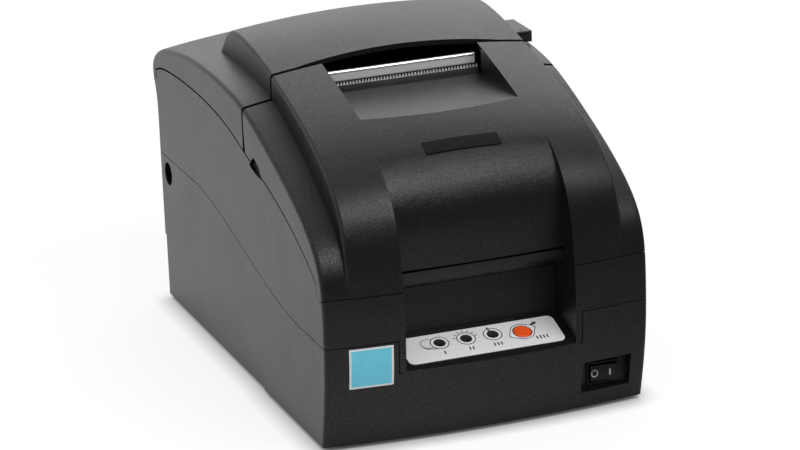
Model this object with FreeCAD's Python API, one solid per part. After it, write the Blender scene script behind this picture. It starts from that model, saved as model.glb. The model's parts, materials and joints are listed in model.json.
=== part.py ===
import FreeCAD, Part

import math
import os

from FreeCAD import Vector

# Receipt printer with an impact print head, in millimetres.
# X is the width, the front faces -Y and +Z is up. The feet stand on Z = 0.
# Places along the depth are given as a distance behind the front corner edge.

os.makedirs("parts", exist_ok=True)

# ---------------------------------------------------------------- driving sizes

width = 160.0
depth = 257.4
front_bulge = 4.7           # the crown reaches this far in front of the front corner edge
crown = 5.6                 # how far the middle of the skin stands out from its edges
top_swell = 1.27            # the crown is this much higher where the skin lies flat
wall = 2.4
foot_height = 2.0
edge_round = 2.2            # rounding of the long outer edges
inner_round = 0.6           # rounding of the same edges inside

seam = 0.9                  # gap between a cover and the case
case_gap = 0.4              # gap between the two case halves
tab_gap = 0.8               # gap below the front tab
lip_gap = 1.3               # gap between the set-back panel and the ledge below it
cover_seam = 2.0            # gap between the two covers
seam_spread = 1.6           # the side seam is wider by this at its lower end

front_case_top = 52.8       # parting of the case halves at the front
rear_case_top = 79.2        # parting of the case halves at the rear
pillar_foot = 76.4          # lower edge of the front cover's pillars
panel_foot = 81.2           # lower edge of the set-back panel between them
cover_split = 106.0         # seam between the covers, behind the front edge
rear_face = 248.0           # rear wall of the case, behind the front edge

hump_half = 64.9            # half width of the raised middle
hump_flare = 2.7            # extra half width where it runs out at the front
hump_round = 2.0
recess_half = 42.1          # half width between the pillars
recess_depth = 22.0
tab_half = 45.6             # front tab of the upper case in the lower case
tab_foot = 36.7
panel_front_height = 38.6   # operation panel at the front edge
panel_slope = 0.32
tray_half = 39.5            # paper exit tray in the front cover
tray_front = 57.0
tray_floor = 142.0
tray_end_gap = 5.6          # the tray's floor ends this far in front of the seam
notch_depth = 1.6           # finger notch in each side

front_hinge = (3.2, 80.0)   # behind the front edge, height
front_pin_radius = 1.2
rear_hinge = (249.4, 121.0)
rear_knuckle = 3.2
rear_pin_radius = 1.25
hinge_clearance = 0.3
pin_clearance = 0.05

sheet = 1.2                 # steel sheet of the mechanism
frame_half = 57.0           # inner faces of the side frames
base_height = 62.0
shaft_height = 90.0
shaft_back = 84.0
shaft_radius = 3.0
rail_back = 70.0
rail_radius = 2.0
slide_clearance = 0.05
paper_back = 106.0          # the paper's path up to the exit
head_height = 102.0
head_half = 9.0
carriage_half = 11.0

feed_height = 122.0
feed_radius = 5.4
feed_shaft_radius = 2.5
pinch_radius = 3.6
pinch_shaft_radius = 1.5
paper_thickness = 0.3
gear_gap = 0.3              # tip clearance between gears
gear_width = 3.0
gear_stud = 1.5

belt_height = 81.0
belt_width = 4.0
belt_thickness = 1.0
belt_back = 74.0
pulley_x = 47.0
pulley_radius = 5.0
belt_clearance = 0.2

bucket_width = 79.0
bucket_wall = 2.0
bucket_radius = 42.0
bucket_back = 182.0
bucket_height = 91.0
bucket_top = 118.0

foot_radius = 7.0
foot_x = 66.0
foot_front = 30.0
foot_rear = 226.0
foot_recess = 1.0

board_height = 14.0
board_thickness = 1.6
screw_radius = 1.5
screw_head = 2.8

switch_x = 59.7
switch_height = 16.9
switch_floor = 8.4          # floor of the recess, behind the front edge
switch_mouth_x = (46.3, 71.9)
switch_mouth_z = (10.0, 26.1)
switch_bezel = (16.4, 10.8)
bezel_lift = 1.0
rocker_size = (13.2, 8.1)
rocker_turn = 13.0
rocker_side_gap = 0.7
rocker_end_gap = 0.3
button_x = 20.9
button_back = 10.6
button_radius = 4.3
button_clearance = 0.45
button_rise = 0.6
lamp_x = (-19.8, -6.6, 6.6)
lamp_back = 12.1
lamp_radius = 2.8
label_thickness = 0.3

lever_x = (70.2, 79.4)
lever_back = (132.5, 156.5)
lever_top = 150.0
lever_pivot = (146.0, 126.0)
catch_bar = (153.4, 113.9)
catch_radius = 1.6

side_hole_radius = 6.0
side_hole = (234.5, 70.5)

# ---------------------------------------------------------------- derived sizes

half_width = width / 2
front_edge = -depth / 2 + front_bulge
case_bottom = foot_height
case_floor = case_bottom + wall
board_top = board_height + board_thickness
frame_outer = frame_half + sheet
nodes = {}


def back(distance):
    """Y of a place given as a distance behind the front corner edge."""
    return front_edge + distance


# ---------------------------------------------------------------- plain shapes


def box(x0, x1, s0, s1, z0, z1):
    """A block; s0 and s1 are distances behind the front edge."""
    return Part.makeBox(x1 - x0, s1 - s0, z1 - z0, Vector(x0, back(s0), z0))


def rod_x(x0, x1, s, z, radius):
    return Part.makeCylinder(radius, x1 - x0, Vector(x0, back(s), z), Vector(1, 0, 0))


def rod_y(s0, s1, x, z, radius):
    return Part.makeCylinder(radius, s1 - s0, Vector(x, back(s0), z), Vector(0, 1, 0))


def rod_z(z0, z1, x, s, radius):
    return Part.makeCylinder(radius, z1 - z0, Vector(x, back(s), z0), Vector(0, 0, 1))


def side_plate(points, x0, x1):
    """A flat plate from side-view points (distance back, height)."""
    ring = [Vector(x0, back(s), z) for s, z in points]
    face = Part.Face(Part.makePolygon(ring + ring[:1]))
    return face.extrude(Vector(x1 - x0, 0, 0))


def plan_plate(points, z0, z1):
    """A flat plate from plan points (X, distance back)."""
    ring = [Vector(x, back(s), z0) for x, s in points]
    face = Part.Face(Part.makePolygon(ring + ring[:1]))
    return face.extrude(Vector(0, 0, z1 - z0))


def front_plate(points, s0, s1):
    """A flat plate from front-view points (X, height)."""
    ring = [Vector(x, back(s0), z) for x, z in points]
    face = Part.Face(Part.makePolygon(ring + ring[:1]))
    return face.extrude(Vector(0, s1 - s0, 0))


def joined(shapes):
    """One solid out of several that touch or overlap."""
    whole = shapes[0]
    if len(shapes) > 1:
        whole = whole.fuse(shapes[1:]).removeSplitter()
    return whole


def mirrored(shape):
    return shape.mirror(Vector(0, 0, 0), Vector(1, 0, 0))


def largest(shape):
    """The biggest solid of a cut result."""
    return max(shape.Solids, key=lambda solid: solid.Volume)


def keep(name, shapes):
    """Store a node: one solid, or a group of separate ones."""
    solids = []
    for shape in shapes if isinstance(shapes, list) else [shapes]:
        solids += shape.Solids
    nodes[name] = solids[0] if len(solids) == 1 else Part.makeCompound(solids)
    return nodes[name]


# ---------------------------------------------------------------- skins
# A skin is a side outline carried across the width. Its middle stands out by the
# crown, its long edges are rounded, and an inner skin lies one wall further in.
# Each outline is a row of control points (distance back, height) of a smooth curve.

low = -8.0                  # the outlines run on below the floor

shoulder_line = [
    (11.5, low), (4.5, 14.5), (0.0, 36.0), (-0.5, 62.0), (0.0, 80.0), (5.0, 92.5), (15.0, 102.5),
    (34.0, 113.5), (60.0, 124.0), (88.5, 134.5), (112.0, 141.0), (136.0, 143.0), (162.0, 144.0),
    (192.5, 143.0), (222.0, 139.0), (242.5, 134.0), (253.0, 126.5), (253.0, 118.0), (248.5, 109.5),
    (rear_face, 100.0), (rear_face, 90.0), (rear_face, 60.0), (rear_face, low),
]
hump_line = [
    (14.0, low), (10.0, 30.0), (1.6, 56.0), (0.1, 73.0), (1.5, 90.5), (6.5, 108.0), (19.0, 122.0),
    (42.0, 133.2), (72.0, 142.4), (102.0, 150.0), (128.0, 155.6), (148.0, 158.2), (164.5, 158.6),
    (176.0, 155.0), (185.0, 142.5), (201.5, 127.5), (222.5, 111.0), (225.0, 60.0), (225.0, low),
]
panel_line = [
    (14.5, low), (14.5, 30.0), (15.0, 62.0), (13.5, 84.0), (12.0, 100.0), (14.5, 111.0), (22.0, 122.0),
    (38.0, 134.0), (65.5, 151.5), (99.0, 170.0), (160.0, 176.0), (240.0, 176.0), (260.0, 120.0),
    (260.0, low),
]


def guide_curve(line):
    """Smooth side outline led by its control points; the knots follow their spacing."""
    poles = [Vector(0, back(s), z) for s, z in line]
    lengths = [0.0]
    for first, second in zip(poles, poles[1:]):
        lengths.append(lengths[-1] + first.distanceToPoint(second))
    inner = [sum(lengths[k:k + 3]) / 3 for k in range(1, len(poles) - 3)]
    curve = Part.BSplineCurve()
    curve.buildFromPolesMultsKnots(
        poles, [4] + [1] * len(inner) + [4], [0.0] + inner + [lengths[-1]], False, 3)
    return curve


def crown_at(x):
    """Height of the crown at a place across the width."""
    return crown * (1 - (x / half_width) ** 2)


def cross_poles(half, rounding):
    """Poles across a skin: (X, crown part, drop into the wall)."""
    flat = half - rounding
    level = crown_at(flat)
    middle = 2 * crown - level
    if rounding == 0:
        return [(-half, level, 0), (0, middle, 0), (half, level, 0)]
    corner = level - 2 * crown * flat / half_width ** 2 * rounding
    left = [(-half, corner, rounding), (-half, corner, 0), (-flat, level, 0)]
    right = [(-x, rise, drop) for x, rise, drop in reversed(left)]
    return left + [(0, middle, 0)] + right


def skin(line, half, rounding, inset):
    """Solid under a skin, down to the low plane."""
    guide = guide_curve(line)
    knots = guide.getKnots()
    stations = [knots[-1]]
    for first, second in zip(knots, knots[1:]):
        stations += [first, (first + second) / 2]
    stations.sort()
    base = [guide.value(station) for station in stations]
    full = []
    for station in stations:
        along = guide.tangent(station)[0]
        full.append(Vector(0, -along.z, along.y))
    full[0] = Vector(0, -1, 0)
    full[-1] = Vector(0, 1, 0)
    raised = []
    for normal in full:
        lift = max(normal.z, 0)
        raised.append(Vector(0, min(normal.y, 0), lift + (top_swell - 1) * lift ** 3))
    raised[-1] = Vector(0, 0, 0)
    rows = []
    for x, rise, drop in cross_poles(half, rounding):
        points = []
        for place, out, up in zip(base, full, raised):
            points.append(place + Vector(x, 0, 0) + up * rise - out * (inset + drop))
        curve = Part.BSplineCurve()
        curve.interpolate(Points=points, Parameters=stations)
        rows.append(curve)
    faces = []
    ends = ([], [])
    for first in range(0, len(rows) - 2, 2):
        strip = rows[first:first + 3]
        grid = [list(poles) for poles in zip(*[curve.getPoles() for curve in strip])]
        surface = Part.BSplineSurface()
        surface.buildFromPolesMultsKnots(
            grid, strip[0].getMultiplicities(), [3, 3], strip[0].getKnots(), [0, 1], False, False, 3, 2)
        faces.append(surface.toShape())
        for side, edges in enumerate(ends):
            edges.append(surface.uIso(surface.bounds()[side]).toShape())
    sides = []
    for curve in (rows[0], rows[-1]):
        start, end = curve.StartPoint, curve.EndPoint
        sides.append(Part.makeLine(end, start))
        faces.append(Part.Face(Part.Wire([curve.toShape(), sides[-1]])))
    foot = Part.__sortEdges__(ends[0] + ends[1] + sides)
    faces.append(Part.Face(Part.Wire(foot)))
    shell = Part.Shell(faces)
    shell.sewShape()
    solid = Part.Solid(shell)
    if solid.Volume < 0:
        solid.reverse()
    return solid


def hump_prism(inset):
    """Walls of the raised middle: flared in plan, with a little draft."""
    def ring(z, extra):
        half = hump_half + extra - inset
        plan = [(half + hump_flare, -10), (half + hump_flare * 0.55, 45), (half + hump_flare * 0.15, 90),
                (half, 130), (half, 200), (half, 300)]
        curves = []
        for side in (1, -1):
            curve = Part.BSplineCurve()
            curve.interpolate(Points=[Vector(side * x, back(s), z) for x, s in plan])
            curves.append(curve)
        front = Part.makeLine(curves[1].StartPoint, curves[0].StartPoint)
        rear = Part.makeLine(curves[0].EndPoint, curves[1].EndPoint)
        return Part.Wire([front, curves[0].toShape(), rear, Part.Wire([curves[1].toShape()]).Edges[0]])
    return Part.makeLoft([ring(60, 1.4), ring(175, -0.6)], True, True)


def long_edges(shape, test):
    return [edge for edge in shape.Edges if edge.Length > 20 and test(edge)]


shoulder_out = skin(shoulder_line, half_width, edge_round, 0)
shoulder_in = skin(shoulder_line, half_width - wall, inner_round, wall)
hump_out = skin(hump_line, 75.0, 0, 0).common(hump_prism(0))
hump_in = skin(hump_line, 75.0, 0, wall).common(hump_prism(wall))
panel_out = skin(panel_line, 75.0, 0, 0)
panel_in = skin(panel_line, 75.0, 0, wall)
hump_edges = long_edges(hump_out, lambda edge: edge.BoundBox.XLength < 8 and edge.BoundBox.ZMax > 150
                        and edge.BoundBox.YLength > 100)
hump_out = hump_out.makeFillet(hump_round, hump_edges)

# ---------------------------------------------------------------- parting lines in side view


def region(top_line, bottom_line):
    """Space between two side-view lines, as wide as the printer and more."""
    def edge_of(line):
        if len(line) == 2:
            ends = [Vector(-100, back(s), z) for s, z in line]
            return Part.makeLine(ends[0], ends[1])
        curve = Part.BSplineCurve()
        curve.interpolate(Points=[Vector(-100, back(s), z) for s, z in line])
        return curve.toShape()
    edges = []
    for line in (top_line, bottom_line):
        edges.append([edge_of(stretch) for stretch in line])
    top_ends = (top_line[0][0], top_line[-1][-1])
    low_ends = (bottom_line[0][0], bottom_line[-1][-1])
    for upper, lower in zip(top_ends, low_ends):
        first = Vector(-100, back(upper[0]), upper[1])
        second = Vector(-100, back(lower[0]), lower[1])
        edges.append([Part.makeLine(first, second)])
    outline = Part.Wire(Part.__sortEdges__([edge for group in edges for edge in group]))
    return Part.Face(outline).extrude(Vector(200, 0, 0))


def shifted(line, amount):
    return [[(s, z + amount) for s, z in stretch] for stretch in line]


parting_line = [
    [(-30, front_case_top), (30, front_case_top)],
    [(30, front_case_top), (49, 53.8), (84.5, 59.5), (143.4, 73.1), (172, 78.1), (190, rear_case_top)],
    [(190, rear_case_top), (290, rear_case_top)],
]
cover_line = [
    [(-30, pillar_foot), (0, pillar_foot)],
    [(0, pillar_foot), (9.8, 83.6), (22.6, 91.0), (42.3, 99.9), (62.8, 107.0), (84.0, 112.6),
     (106.0, 117.8), (128.0, 123.2), (150.0, 126.4), (174.0, 127.9), (198.0, 128.1),
     (224.0, 126.9), (240.0, 124.6), (rear_hinge[0], rear_hinge[1])],
    [(rear_hinge[0], rear_hinge[1]), (290, rear_hinge[1])],
]
bottom_line = [[(-30, case_bottom), (290, case_bottom)]]
sky_line = [[(-30, 190), (290, 190)]]

lower_zone = region(shifted(parting_line, -case_gap / 2), bottom_line)
upper_zone = region(shifted(cover_line, -seam / 2), shifted(parting_line, case_gap / 2))
cover_zone = region(sky_line, shifted(cover_line, seam / 2))

skin_outer = shoulder_out.fuse(hump_out)
skin_inner = shoulder_in.fuse(hump_in)

# ---------------------------------------------------------------- hinge shapes


def spindle(extra, x0, x1):
    """Room that the foot of a pillar sweeps about the front hinge."""
    s, z = front_hinge
    steps = 6
    points = []
    for k in range(steps + 1):
        x = x0 + (x1 - x0) * k / steps
        reach = s + crown_at(x)
        points.append(Vector(x, back(s), z + math.hypot(reach, z - pillar_foot) + extra))
    curve = Part.BSplineCurve()
    curve.interpolate(Points=points)
    ends = [Vector(x0, back(s), z), Vector(x1, back(s), z)]
    wire = Part.Wire([curve.toShape(), Part.makeLine(points[-1], ends[1]),
                      Part.makeLine(ends[1], ends[0]), Part.makeLine(ends[0], points[0])])
    return Part.Face(wire).revolve(Vector(0, back(s), z), Vector(1, 0, 0), 360)


front_relief = [spindle(hinge_clearance, recess_half, half_width + 3)]
front_relief.append(mirrored(front_relief[0]))
rear_relief = rod_x(-100, 100, rear_hinge[0], rear_hinge[1], rear_knuckle + 1.0)
rear_barrel = rod_x(-half_width, half_width, rear_hinge[0], rear_hinge[1], rear_knuckle)

# ---------------------------------------------------------------- finger notches

notch_over = [(80.9, 110.9), (85.6, 116.8), (92.5, 118.5)]      # front end, arc to the top
notch_under = [(98.6, 113.6), (91.0, 111.6), (80.9, 110.9)]     # heel, flat arc to the front end


def finger_notch():
    """Hollow across the right side seam: an arc above, a straight heel, a flat arc below."""
    arcs = []
    for line in (notch_over, notch_under):
        arcs.append(Part.Arc(*[Vector(half_width - notch_depth, back(s), z) for s, z in line]).toShape())
    heel = Part.makeLine(arcs[0].Vertexes[-1].Point, arcs[1].Vertexes[0].Point)
    return Part.Face(Part.Wire([arcs[0], heel, arcs[1]])).extrude(Vector(notch_depth + 5, 0, 0))


finger_notches = [finger_notch(), mirrored(finger_notch())]

# ---------------------------------------------------------------- lower case


def floor_height(s):
    """Operation panel surface at a distance behind the front edge."""
    return panel_front_height + panel_slope * s


tab_room = box(-tab_half, tab_half, -30, recess_depth + wall + case_gap, tab_foot, 60)
switch_recess = box(*switch_mouth_x, -30, switch_floor, *switch_mouth_z)
switch_body_half = (rocker_size[0] / 2 + rocker_side_gap + 0.6, rocker_size[1] / 2 + rocker_end_gap + 0.6)
body_play = 0.2


def switch_block(half_x, half_z, s0, s1):
    """Block about the middle of the power switch."""
    return box(switch_x - half_x, switch_x + half_x, s0, s1, switch_height - half_z, switch_height + half_z)


side_recess_line = [
    [(-30, -30), (93, 2.4)],
    [(93, 2.4), (96, 9.8), (112, 13.6), (129, 18.8), (152.8, 26.6), (174.4, 31.8), (193.2, 35.4),
     (223, 36.4), (249, 35.0)],
    [(249, 35.0), (290, 34.0)],
]
side_recess = region(side_recess_line, [[(-30, -60), (290, -60)]])
side_step = 1.0

case_shell = shoulder_out.common(lower_zone).cut(
    shoulder_in.common(box(-100, 100, -30, 290, case_floor, 200)))
lower_case = case_shell.cut(tab_room)
# walls and floor of the switch recess
switch_backing = box(switch_mouth_x[0] - wall, half_width - wall / 2, 2.5, switch_floor + wall,
                     case_floor, switch_mouth_z[1] + wall)
lower_case = lower_case.fuse(switch_backing.common(shoulder_out))
lower_case = lower_case.cut([
    switch_recess,
    switch_block(switch_body_half[0] + body_play, switch_body_half[1] + body_play,
                 switch_floor - 1, switch_floor + wall + 1),
    side_recess.common(box(-100, -half_width + side_step, 85, 290, 0, 60)),
    side_recess.common(box(half_width - side_step, 100, 85, 290, 0, 60)),
    rod_x(-90, -70, side_hole[0], side_hole[1], side_hole_radius)])

# openings of the rear wall: interface plate, drawer jack and power inlet
plate_x = (-20.0, 62.0)
plate_z = (14.0, 44.0)
jack_x = -36.0
inlet_x = -58.0
jack_size = (14.0, 13.0)
inlet_radius = 6.6
rear_cut_z = 24.0
lower_case = lower_case.cut([
    box(plate_x[0] + 3, plate_x[1] - 3, rear_face - 6, 260, plate_z[0] + 3, plate_z[1] - 3),
    box(jack_x - jack_size[0] / 2, jack_x + jack_size[0] / 2, rear_face - 6, 260,
        rear_cut_z - jack_size[1] / 2, rear_cut_z + jack_size[1] / 2),
    rod_y(rear_face - 6, 260, inlet_x, rear_cut_z, inlet_radius)])

# posts inside: main board, mechanism and case screws
board_x = (-65.5, 65.5)
board_back = (120.0, 240.0)
board_posts = [(x, s) for x in (-60.0, 60.0) for s in (126.0, 222.0)]
mech_posts = [(x, s) for x in (-48.0, 48.0) for s in (40.0, 100.0)]
screw_posts = [(x, s) for x in (-70.0, 70.0) for s in (50.0, 205.0)]
post_radius = 4.0
for x, s in board_posts:
    lower_case = lower_case.fuse(rod_z(case_bottom + 1, board_height, x, s, post_radius))
    lower_case = lower_case.cut(rod_z(case_floor, board_height + 1, x, s, screw_radius))
for x, s in mech_posts:
    lower_case = lower_case.fuse(rod_z(case_bottom + 1, base_height, x, s, post_radius))
    lower_case = lower_case.cut(rod_z(base_height - 12, base_height + 1, x, s, screw_radius))
case_screw_top = 40.0
for x, s in screw_posts:
    lower_case = lower_case.fuse(rod_z(case_bottom + 1, case_screw_top, x, s, post_radius))
    lower_case = lower_case.cut([rod_z(case_bottom - 1, case_screw_top + 1, x, s, screw_radius + 0.3),
                                 rod_z(case_bottom - 1, case_bottom + 4, x, s, screw_head + 0.3)])
feet_places = [(x, s) for x in (-foot_x, foot_x) for s in (foot_front, foot_rear)]
for x, s in feet_places:
    lower_case = lower_case.cut(rod_z(case_bottom - 1, case_bottom + foot_recess, x, s, foot_radius + 0.1))
keep("lower_case", largest(lower_case))

keep("rubber_feet", [rod_z(0, case_bottom + foot_recess, x, s, foot_radius) for x, s in feet_places])


def screw(x, s, z, length, direction=1):
    """Screw with a flat head; its shank points up or down from the head."""
    if direction > 0:
        return joined([rod_z(z, z + 1.6, x, s, screw_head),
                       rod_z(z + 1, z + length, x, s, screw_radius - 0.1)])
    return joined([rod_z(z - 1.6, z, x, s, screw_head),
                   rod_z(z - length, z - 1, x, s, screw_radius - 0.1)])


# ---------------------------------------------------------------- upper case

upper_shell = shoulder_out.common(upper_zone).cut(shoulder_in)
cheek_end = 14.4            # rear end of the pillars' inner walls
lining_half = recess_half + wall
recess_block = box(-lining_half, lining_half, -30, recess_depth + wall, tab_foot, pillar_foot - seam)
recess_block = recess_block.fuse(
    box(-lining_half, lining_half, cheek_end + 0.8, recess_depth + wall, tab_foot, panel_foot - lip_gap))
tab_block = box(-tab_half + case_gap, tab_half - case_gap, -30, recess_depth + wall,
                tab_foot + tab_gap, front_case_top + 4)
recess_void = side_plate([(-30, floor_height(-30)), (recess_depth, floor_height(recess_depth)),
                          (recess_depth, 120), (-30, 120)], -recess_half, recess_half)
under_panel = side_plate([(wall - 1.5, tab_foot - 5), (wall - 1.5, floor_height(wall) - wall),
                          (recess_depth, floor_height(recess_depth) - wall),
                          (recess_depth, tab_foot - 5)], -recess_half, recess_half)
lining = recess_block.fuse(tab_block).common(shoulder_out).cut([recess_void, under_panel])
upper_case = upper_shell.fuse(lining).cut(recess_void)
# rounded lip that closes the recess under the front cover's panel
lip_front = 9.4
lip_low = 69.6
lip_top = panel_foot - lip_gap


def recess_lip():
    """Rounded ledge from the recess's rear wall forward, with a rib behind the panel."""
    brow = Part.Arc(Vector(-recess_half, back(lip_front), lip_top),
                    Vector(-recess_half, back(lip_front + 2.4), lip_top - 6.4),
                    Vector(-recess_half, back(recess_depth + 0.5), lip_low)).toShape()
    rear = recess_depth + wall
    ring = [(recess_depth + 0.5, lip_low), (rear, lip_low), (rear, lip_top + 3),
            (rear - 1.6, lip_top + 3), (rear - 1.6, lip_top), (lip_front, lip_top)]
    corners = [Vector(-recess_half, back(s), z) for s, z in ring]
    sides = [Part.makeLine(first, second) for first, second in zip(corners, corners[1:])]
    return Part.Face(Part.Wire([brow] + sides)).extrude(Vector(2 * recess_half, 0, 0))


upper_case = upper_case.fuse(recess_lip())
upper_case = upper_case.cut(front_relief + finger_notches + [rear_relief])

# brackets of the front hinge, behind the pillars
bracket_x = (50.5, 54.5)
pin_z = front_hinge[1]
pin_s = front_hinge[0]


def front_bracket():
    """Eye on a neck that comes from behind, clear of the pillar's swing."""
    x0, x1 = bracket_x
    eye = rod_x(x0, x1, pin_s, pin_z, 2.2)
    neck = box(x0, x1, pin_s, 10.0, pin_z - 1.8, pin_z + 1.5)
    post = box(x0, x1, 6.8, 10.0, 60, pin_z + 1.5)
    foot = box(x0, x1, -6, 10.0, 58, 66).common(shoulder_out)
    return joined([eye, neck, post, foot]).cut(rod_x(x0 - 1, x1 + 1, pin_s, pin_z, front_pin_radius))


brackets = front_bracket()
upper_case = upper_case.fuse([brackets, mirrored(brackets)])

# ears of the rear hinge, between the cover's knuckles
ear_x = (60.0, 66.0)


def rear_ear():
    arm = box(ear_x[0], ear_x[1], rear_hinge[0] - 5.0, rear_face - wall + 0.5, 104, rear_hinge[1] - 1)
    eye = rod_x(ear_x[0], ear_x[1], rear_hinge[0], rear_hinge[1], rear_knuckle - 0.4)
    neck = box(ear_x[0], ear_x[1], rear_hinge[0] - 5.0, rear_hinge[0], rear_hinge[1] - 6, rear_hinge[1] - 1)
    bore = rod_x(ear_x[0] - 1, ear_x[1] + 1, rear_hinge[0], rear_hinge[1], rear_pin_radius)
    return joined([arm, eye, neck]).cut(bore)


ears = rear_ear()
upper_case = upper_case.fuse([ears, mirrored(ears)])

# screw posts that meet the lower case's posts
for x, s in screw_posts:
    post = rod_z(case_screw_top + case_gap, 100, x, s, post_radius)
    side = math.copysign(half_width, x)
    bridge = box(min(x, side), max(x, side), s - 1.2, s + 1.2, 56, 100)
    rib = bridge.common(shoulder_out).common(upper_zone).cut(box(-100, 100, -30, 290, 0, 84))
    top = post.common(region(shifted(cover_line, -8), [[(-30, 0), (290, 0)]]))
    upper_case = upper_case.fuse([top, rib])
    upper_case = upper_case.cut(rod_z(case_screw_top, case_screw_top + 14, x, s, screw_radius))

# room for the button and lamps in the panel
panel_tilt = math.degrees(math.atan(panel_slope))


def on_panel(shape):
    """Turn a shape made about the origin into the panel's plane."""
    turned = shape.copy()
    turned.rotate(Vector(0, 0, 0), Vector(1, 0, 0), panel_tilt)
    return turned


def panel_rod(x, s, radius, below, above):
    """Round piece square to the panel, from below to above its surface."""
    piece = on_panel(Part.makeCylinder(radius, below + above, Vector(0, 0, -below)))
    piece.translate(Vector(x, back(s), floor_height(s)))
    return piece


upper_case = upper_case.cut([panel_rod(button_x, button_back, button_radius + button_clearance, 6, 3)])
upper_case = upper_case.cut([panel_rod(x, lamp_back, lamp_radius, 6, 3) for x in lamp_x])


def panel_block(x0, x1, s0, s1, below, above):
    """Block square to the panel; heights are measured from its surface."""
    slant = math.sqrt(1 + panel_slope ** 2)
    piece = on_panel(Part.makeBox(x1 - x0, (s1 - s0) * slant, above - below, Vector(x0, 0, below)))
    piece.translate(Vector(0, back(s0), floor_height(s0)))
    return piece


board_drop = 7.0            # lamp board below the panel surface
for x0 in (-30.0, 27.0):
    upper_case = upper_case.fuse(panel_block(x0, x0 + 3, 7.0, 15.5, -board_drop, -1.5))
keep("upper_case", largest(upper_case))

# ---------------------------------------------------------------- operation panel

label_half = 38.8
label_back = (0.0, 18.8)
label_corner = 3.0


def panel_sheet():
    """Thin label in the panel's plane with rounded corners."""
    slant = math.sqrt(1 + panel_slope ** 2)
    deep = (label_back[1] - label_back[0]) * slant
    sheet_box = Part.makeBox(2 * label_half, deep, label_thickness, Vector(-label_half, 0, 0))
    corners = [edge for edge in sheet_box.Edges if edge.BoundBox.ZLength > label_thickness / 2]
    piece = on_panel(sheet_box.makeFillet(label_corner, corners))
    piece.translate(Vector(0, back(label_back[0]), floor_height(label_back[0])))
    holes = [panel_rod(button_x, button_back, button_radius + button_clearance, 3, 3)]
    holes += [panel_rod(x, lamp_back, lamp_radius + 0.1, 3, 3) for x in lamp_x]
    return piece.cut(holes)


keep("panel_label", panel_sheet())
keep("lamp_windows", [panel_rod(x, lamp_back, lamp_radius, board_drop - 2.6, label_thickness + 0.1)
                      for x in lamp_x])
keep("status_lamps", [panel_rod(x, lamp_back, 1.5, board_drop, -(board_drop - 2.4)) for x in lamp_x])


keep("panel_board", panel_block(-30, 30, 6.0, 17.5, -board_drop - board_thickness, -board_drop))
button_travel = 0.5
button_under = wall + 0.6
switch_top = -button_under - button_travel - 0.1
stem_radius = 1.5
stem_end = board_drop - button_travel - 0.9
keep("feed_button", joined([
    panel_rod(button_x, button_back, button_radius, button_under, button_rise),
    panel_rod(button_x, button_back, stem_radius, stem_end, -button_under + 0.2)]))
keep("push_switch", panel_block(button_x - 3, button_x + 3, button_back - 2.9, button_back + 2.9,
                                -board_drop, switch_top).cut(
    panel_rod(button_x, button_back, stem_radius + pin_clearance, stem_end + button_travel + 0.1, 0)))

# ---------------------------------------------------------------- power switch

bezel_front = switch_floor - bezel_lift
rocker_half = rocker_size[0] / 2
rocker_rise = rocker_size[1] / 2
switch_body = joined([
    switch_block(switch_bezel[0] / 2, switch_bezel[1] / 2, bezel_front, switch_floor),
    switch_block(*switch_body_half, bezel_front, switch_floor + 14)])
rocker_well = switch_block(rocker_half + rocker_side_gap, rocker_rise + rocker_end_gap,
                           bezel_front - 1, bezel_front + 6.5)
rocker_pivot = bezel_front + 1.6
rocker_pin_radius = 0.8
pin_reach = rocker_rise + rocker_end_gap + 0.1
rocker_pin = rod_z(switch_height - pin_reach, switch_height + pin_reach, switch_x, rocker_pivot,
                   rocker_pin_radius)
keep("power_switch", switch_body.cut(rocker_well).fuse(rocker_pin))


def rocker():
    """Rocker seen from above: its right half stands proud until it is pushed in."""
    rise = rocker_half * math.tan(math.radians(rocker_turn))
    dish = rocker_pivot - 2.0
    points = [(-rocker_half, dish - 0.4), (0, dish), (rocker_half, dish - rise - 0.2),
              (rocker_half, rocker_pivot + 0.2), (2.4, rocker_pivot + 2.2), (-2.4, rocker_pivot + 2.2),
              (-rocker_half, rocker_pivot + 0.2)]
    plate = plan_plate([(switch_x + x, s) for x, s in points],
                       switch_height - rocker_rise, switch_height + rocker_rise)
    return plate.cut(rod_z(0, 40, switch_x, rocker_pivot, rocker_pin_radius + pin_clearance))


keep("power_rocker", rocker())

# ---------------------------------------------------------------- front cover

pillar_feet = spindle(0, recess_half, half_width + 3)
front_zone = cover_zone.fuse([
    pillar_feet, mirrored(pillar_feet),
    box(-lining_half, lining_half, -30, 30, pillar_foot + seam / 2, 100)])
front_zone = front_zone.common(box(-100, 100, -30, cover_split - cover_seam / 2, 60, 200))
slot_out = box(-recess_half, recess_half, -30, 90, 0, 200).cut(panel_out)
slot_in = box(-recess_half - wall, recess_half + wall, -30, 90, 0, 200).cut(panel_in)
cover_out = skin_outer.cut(slot_out)
cover_in = skin_inner.cut(slot_in)
front_cover = cover_out.cut(cover_in).common(front_zone)
front_cover = front_cover.cut([
    box(-lining_half - 1, lining_half + 1, cheek_end, 40, 60, panel_foot),
    box(-recess_half, recess_half, -30, 40, 60, panel_foot)])
cheek = rod_x(recess_half, lining_half, front_hinge[0], front_hinge[1], 8.0)
cheek = cheek.common(box(0, 100, -1.8, 30, 60, front_hinge[1]))
front_cover = front_cover.fuse([cheek, mirrored(cheek)])

# paper exit tray sunk into the raised middle
tray_void = box(-tray_half, tray_half, tray_front - 14, 200, tray_floor, 200)
tray_void = tray_void.common(cover_out)
tray_lining = box(-tray_half - wall, tray_half + wall, tray_front - 10, cover_split - tray_end_gap,
                  tray_floor - wall, 170)
tray_lining = tray_lining.common(cover_out).common(front_zone)
front_cover = front_cover.fuse(tray_lining).cut(tray_void)

# ears of the front cover on the hinge pins
cover_ear_x = (46.4, 49.6)


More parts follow.
